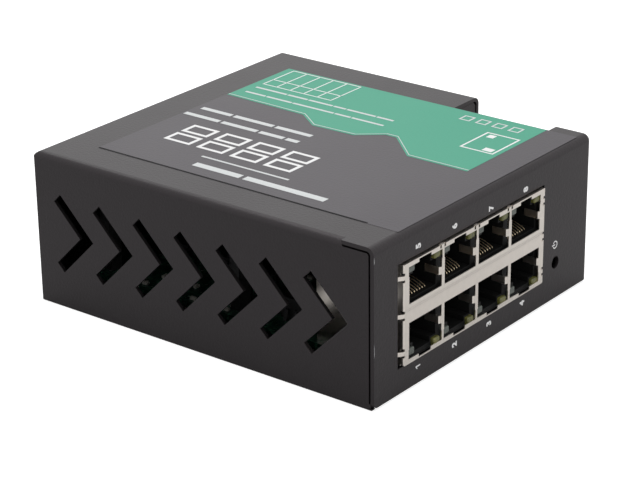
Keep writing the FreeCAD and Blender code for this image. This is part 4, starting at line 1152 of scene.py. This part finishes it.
# %% [markdown]
# ## Port numbers
#
# Each socket has its number on the front panel, turned a quarter so that it
# reads upwards. A text object with the built-in font is made into a mesh
# first, and only then turned and set in place. The figure one is a bare stroke
# in that font, so it is drawn by its corners, with the small flag that tells
# it from a dash.

# %% Numbers two to eight
DIGIT_SPOTS = {              # mm from the slotted wall and the underside
    "2": (31.9, 4.65), "3": (46.4, 4.65), "4": (61.0, 4.65),
    "5": (16.95, 35.05), "6": (31.4, 35.0), "7": (46.5, 34.5), "8": (61.4, 34.5),
}
DIGIT_HIGH, DIGIT_BOLD = 2.5 * MM, 0.13 * MM
turn_to_front = Matrix(((0, 0, 1), (0, -1, 0), (1, 0, 0))).to_euler()
for digit, (y, z) in DIGIT_SPOTS.items():
    let_go()
    bpy.ops.object.text_add()
    number = bpy.context.object
    number.data.body = digit
    number.data.size = DIGIT_HIGH
    number.data.extrude = INK / 2
    number.data.align_x = "CENTER"
    number.data.align_y = "CENTER"
    number.data.resolution_u = 6
    number.data.offset = DIGIT_BOLD
    bpy.ops.object.convert(target="MESH")
    number = new_piece("port_number_" + digit)
    number.location = spot(INK / MM / 2, y, z)
    number.rotation_euler = turn_to_front
    settle(number)
    number.data.materials.append(ink_white)
    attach(number, "housing")
print("port numbers:", len(DIGIT_SPOTS))

# %% Number one
ONE_Y, ONE_Z = 17.0, 4.9
ONE_SHAPE = (                # mm from the figure's middle, its top towards the slotted wall
    (0.9, 0.17), (-0.9, 0.17), (-0.9, -0.12), (-0.5, -0.66), (-0.16, -0.66),
    (-0.46, -0.17), (0.9, -0.17),
)
one_corners = [spot(0, ONE_Y + y, ONE_Z + z) for y, z in ONE_SHAPE]
number_one = thin_shape("port_number_1", one_corners, (INK, 0, 0), ink_white)
print("number one:", len(number_one.data.polygons), "faces")

# %% [markdown]
# ## Power symbol
#
# The light beside the ports is marked with the usual sign, a broken ring with
# a stroke in the gap. A circle is extruded inwards into a flat ring, the
# faces at its top are taken out, and the rest is given the thickness of ink.

# %% Power symbol
RING_Y, RING_Z = 75.5, 15.2
RING_RADIUS, RING_INSIDE = 1.05 * MM, 0.72  # the inner circle as a share of the outer one
RING_GAP = 0.45 * MM                        # half of the gap
STROKE_LONG, STROKE_HALF = 1.4, 0.15
let_go()
ring_middle = spot(0, RING_Y, RING_Z)
bpy.ops.mesh.primitive_circle_add(vertices=40, radius=RING_RADIUS, fill_type="NOTHING",
                                  location=ring_middle, rotation=(0, math.radians(90.0), 0))
power_ring = new_piece("power_ring")
settle(power_ring)
edit(power_ring, "EDGE")
bpy.ops.mesh.select_all(action="SELECT")
bpy.ops.mesh.extrude_edges_move()
bpy.context.scene.tool_settings.transform_pivot_point = "MEDIAN_POINT"
bpy.ops.transform.resize(value=(1.0, RING_INSIDE, RING_INSIDE))
pick_faces(power_ring, lambda middle, normal: middle.y < ring_middle.y
           and abs(middle.z - ring_middle.z) < RING_GAP)
bpy.ops.mesh.delete(type="FACE")
bpy.ops.mesh.select_all(action="SELECT")
bpy.ops.mesh.extrude_region_move(TRANSFORM_OT_translate={"value": (INK, 0, 0)})
face_outwards()
settle(power_ring)
power_ring.data.materials.append(ink_white)
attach(power_ring, "housing")
stroke_corners = front_rectangle(RING_Y - STROKE_LONG, RING_Y,
                                 RING_Z - STROKE_HALF, RING_Z + STROKE_HALF)
thin_shape("power_stroke", stroke_corners, (INK, 0, 0), ink_white)
print("power symbol:", len(power_ring.data.polygons), "faces")

# %% [markdown]
# ## Seams in the port block's shell
#
# The shell is folded from two blanks that meet across the plate between the
# rows, so two fine joints run the whole width of it. Each is a thread of
# shadow laid on the plate.

# %% Shell seams
SEAM_LEVELS = (20.75, 21.2)
SEAM_FROM, SEAM_TO, SEAM_WIDE = 10.9, 68.4, 0.07
SUNK = 0.015                 # the shadow is pressed into the plate by this much
seam_shadow = make_finish("seam_shadow", (0.05, 0.047, 0.043), (0.08, 0.075, 0.07),
                          roughness=0.6, grains=2600.0, bump_mm=0.002)
plate_x = (shell_high.x - FRONT) / MM - SUNK
for index, z in enumerate(SEAM_LEVELS):
    seam_corners = front_rectangle(SEAM_FROM, SEAM_TO, z, z + SEAM_WIDE, plate_x)
    thin_shape(f"shell_seam_{index}", seam_corners, (INK / 2, 0, 0), seam_shadow)
print("shell seams:", len(SEAM_LEVELS))

# %% [markdown]
# ## Painted highlights on a corner
#
# The rounded corner beside the slotted wall catches the light in two short places.
# These highlights are painted: slivers of a paler grey, laid on the edge of the
# front panel.

# %% Painted corner highlights
CORNER_Y = 0.07              # where the corner's rounding ends, in mm from the slotted wall
CORNER_GLINTS = ((36.2, 37.9, 0.22), (13.3, 16.9, 0.17))  # z from and to, and width, in mm
# painted highlight: a paler grey that stands for light caught by the corner's rounding
painted_corner_highlight = make_finish("painted_corner_highlight", (0.22, 0.22, 0.23), (0.42, 0.42, 0.43),
                         roughness=0.5, grains=2600.0, bump_mm=0.004)
for index, (z0, z1, wide) in enumerate(CORNER_GLINTS):
    tall = z1 - z0
    sliver = ((CORNER_Y, z0), (CORNER_Y + wide, z0 + 0.25 * tall),
              (CORNER_Y + 0.7 * wide, z1 - 0.3 * tall), (CORNER_Y, z1))
    glint_corners = [spot(0, y, z) for y, z in sliver]
    thin_shape(f"edge_glint_{index}", glint_corners, (INK / 2, 0, 0), painted_corner_highlight)
print("corner_glints:", len(CORNER_GLINTS))

# %% [markdown]
# ## Floor and light
#
# A pale floor and an even, soft light show a dark satin case at its best: it
# is mostly seen by what it mirrors. The lamps stay at a plain level, and the
# floor and the world look white only to the camera and in reflections.

# %% Pale floor
FLOOR_SIDE, FLOOR_DROP = 6.0, 0.0002
FLOOR_GLOW = 0.75            # how bright the floor looks to the camera, on top of its light
MIRRORED_GLOW = 0.08         # and in reflections
let_go()
bpy.ops.mesh.primitive_plane_add(size=FLOOR_SIDE, location=(0, 0, -FLOOR_DROP))
floor = new_piece("studio_floor")
floor_material = bpy.data.materials.new("pale_floor")
floor_material.use_nodes = True
floor_nodes = floor_material.node_tree.nodes
floor_join = floor_material.node_tree.links.new
floor_shader = floor_nodes["Principled BSDF"]
floor_shader.inputs["Base Color"].default_value = (0.58, 0.58, 0.58, 1.0)
floor_shader.inputs["Roughness"].default_value = 0.9
path = floor_nodes.new("ShaderNodeLightPath")
lit = math_node(floor_nodes, "MULTIPLY", FLOOR_GLOW)
mirrored = math_node(floor_nodes, "MULTIPLY_ADD", MIRRORED_GLOW)
floor_shader.inputs["Emission Color"].default_value = (1.0, 1.0, 1.0, 1.0)
floor_join(path.outputs["Is Camera Ray"], lit.inputs[0])
floor_join(path.outputs["Is Glossy Ray"], mirrored.inputs[0])
floor_join(lit.outputs["Value"], mirrored.inputs[2])
floor_join(mirrored.outputs["Value"], floor_shader.inputs["Emission Strength"])
floor.data.materials.append(floor_material)
print("floor", tuple(floor.dimensions))

# %% World
AMBIENT, SEEN_WHITE = 0.55, 1.0  # the sky's strength as a light, and as it is seen
world = bpy.data.worlds.new("studio")
bpy.context.scene.world = world
world.use_nodes = True
world_nodes = world.node_tree.nodes
world_join = world.node_tree.links.new
path = world_nodes.new("ShaderNodeLightPath")
seen = math_node(world_nodes, "ADD")
through = math_node(world_nodes, "ADD")
seen.use_clamp = through.use_clamp = True
level = world_nodes.new("ShaderNodeMapRange")
level.inputs["To Min"].default_value = AMBIENT
level.inputs["To Max"].default_value = SEEN_WHITE
world_nodes["Background"].inputs["Color"].default_value = (1.0, 1.0, 1.0, 1.0)
world_join(path.outputs["Is Camera Ray"], seen.inputs[0])
world_join(path.outputs["Is Glossy Ray"], seen.inputs[1])
world_join(seen.outputs["Value"], through.inputs[0])
world_join(path.outputs["Is Transmission Ray"], through.inputs[1])
world_join(through.outputs["Value"], level.inputs["Value"])
world_join(level.outputs["Result"], world_nodes["Background"].inputs["Strength"])
print("world", world.name, "with", len(world_nodes), "nodes")

# %% Lamps
AIM = Vector((0, 0, 0.02))   # about the middle of the switch


def soft_lamp(name, place, size, energy):
    """A square area lamp that looks at the middle of the switch."""
    data = bpy.data.lights.new(name, "AREA")
    data.size = size
    data.energy = energy
    lamp = bpy.data.objects.new(name, data)
    bpy.context.collection.objects.link(lamp)
    lamp.location = place
    lamp.rotation_euler = (AIM - lamp.location).to_track_quat("-Z", "Y").to_euler()
    return lamp


overhead = soft_lamp("overhead_softbox", (-0.1, 0.1, 0.9), 0.8, 5.0)
side_fill = soft_lamp("front_fill", (0.9, -0.2, 0.5), 0.7, 3.0)
sheen = soft_lamp("low_back_sheen", (-0.75, 0.7, 0.42), 0.6, 0.5)
print("lamps:", overhead.name, side_fill.name, sheen.name)

# %% [markdown]
# ## End
#
# The last cell imports the json module.

# %% Finish
import json
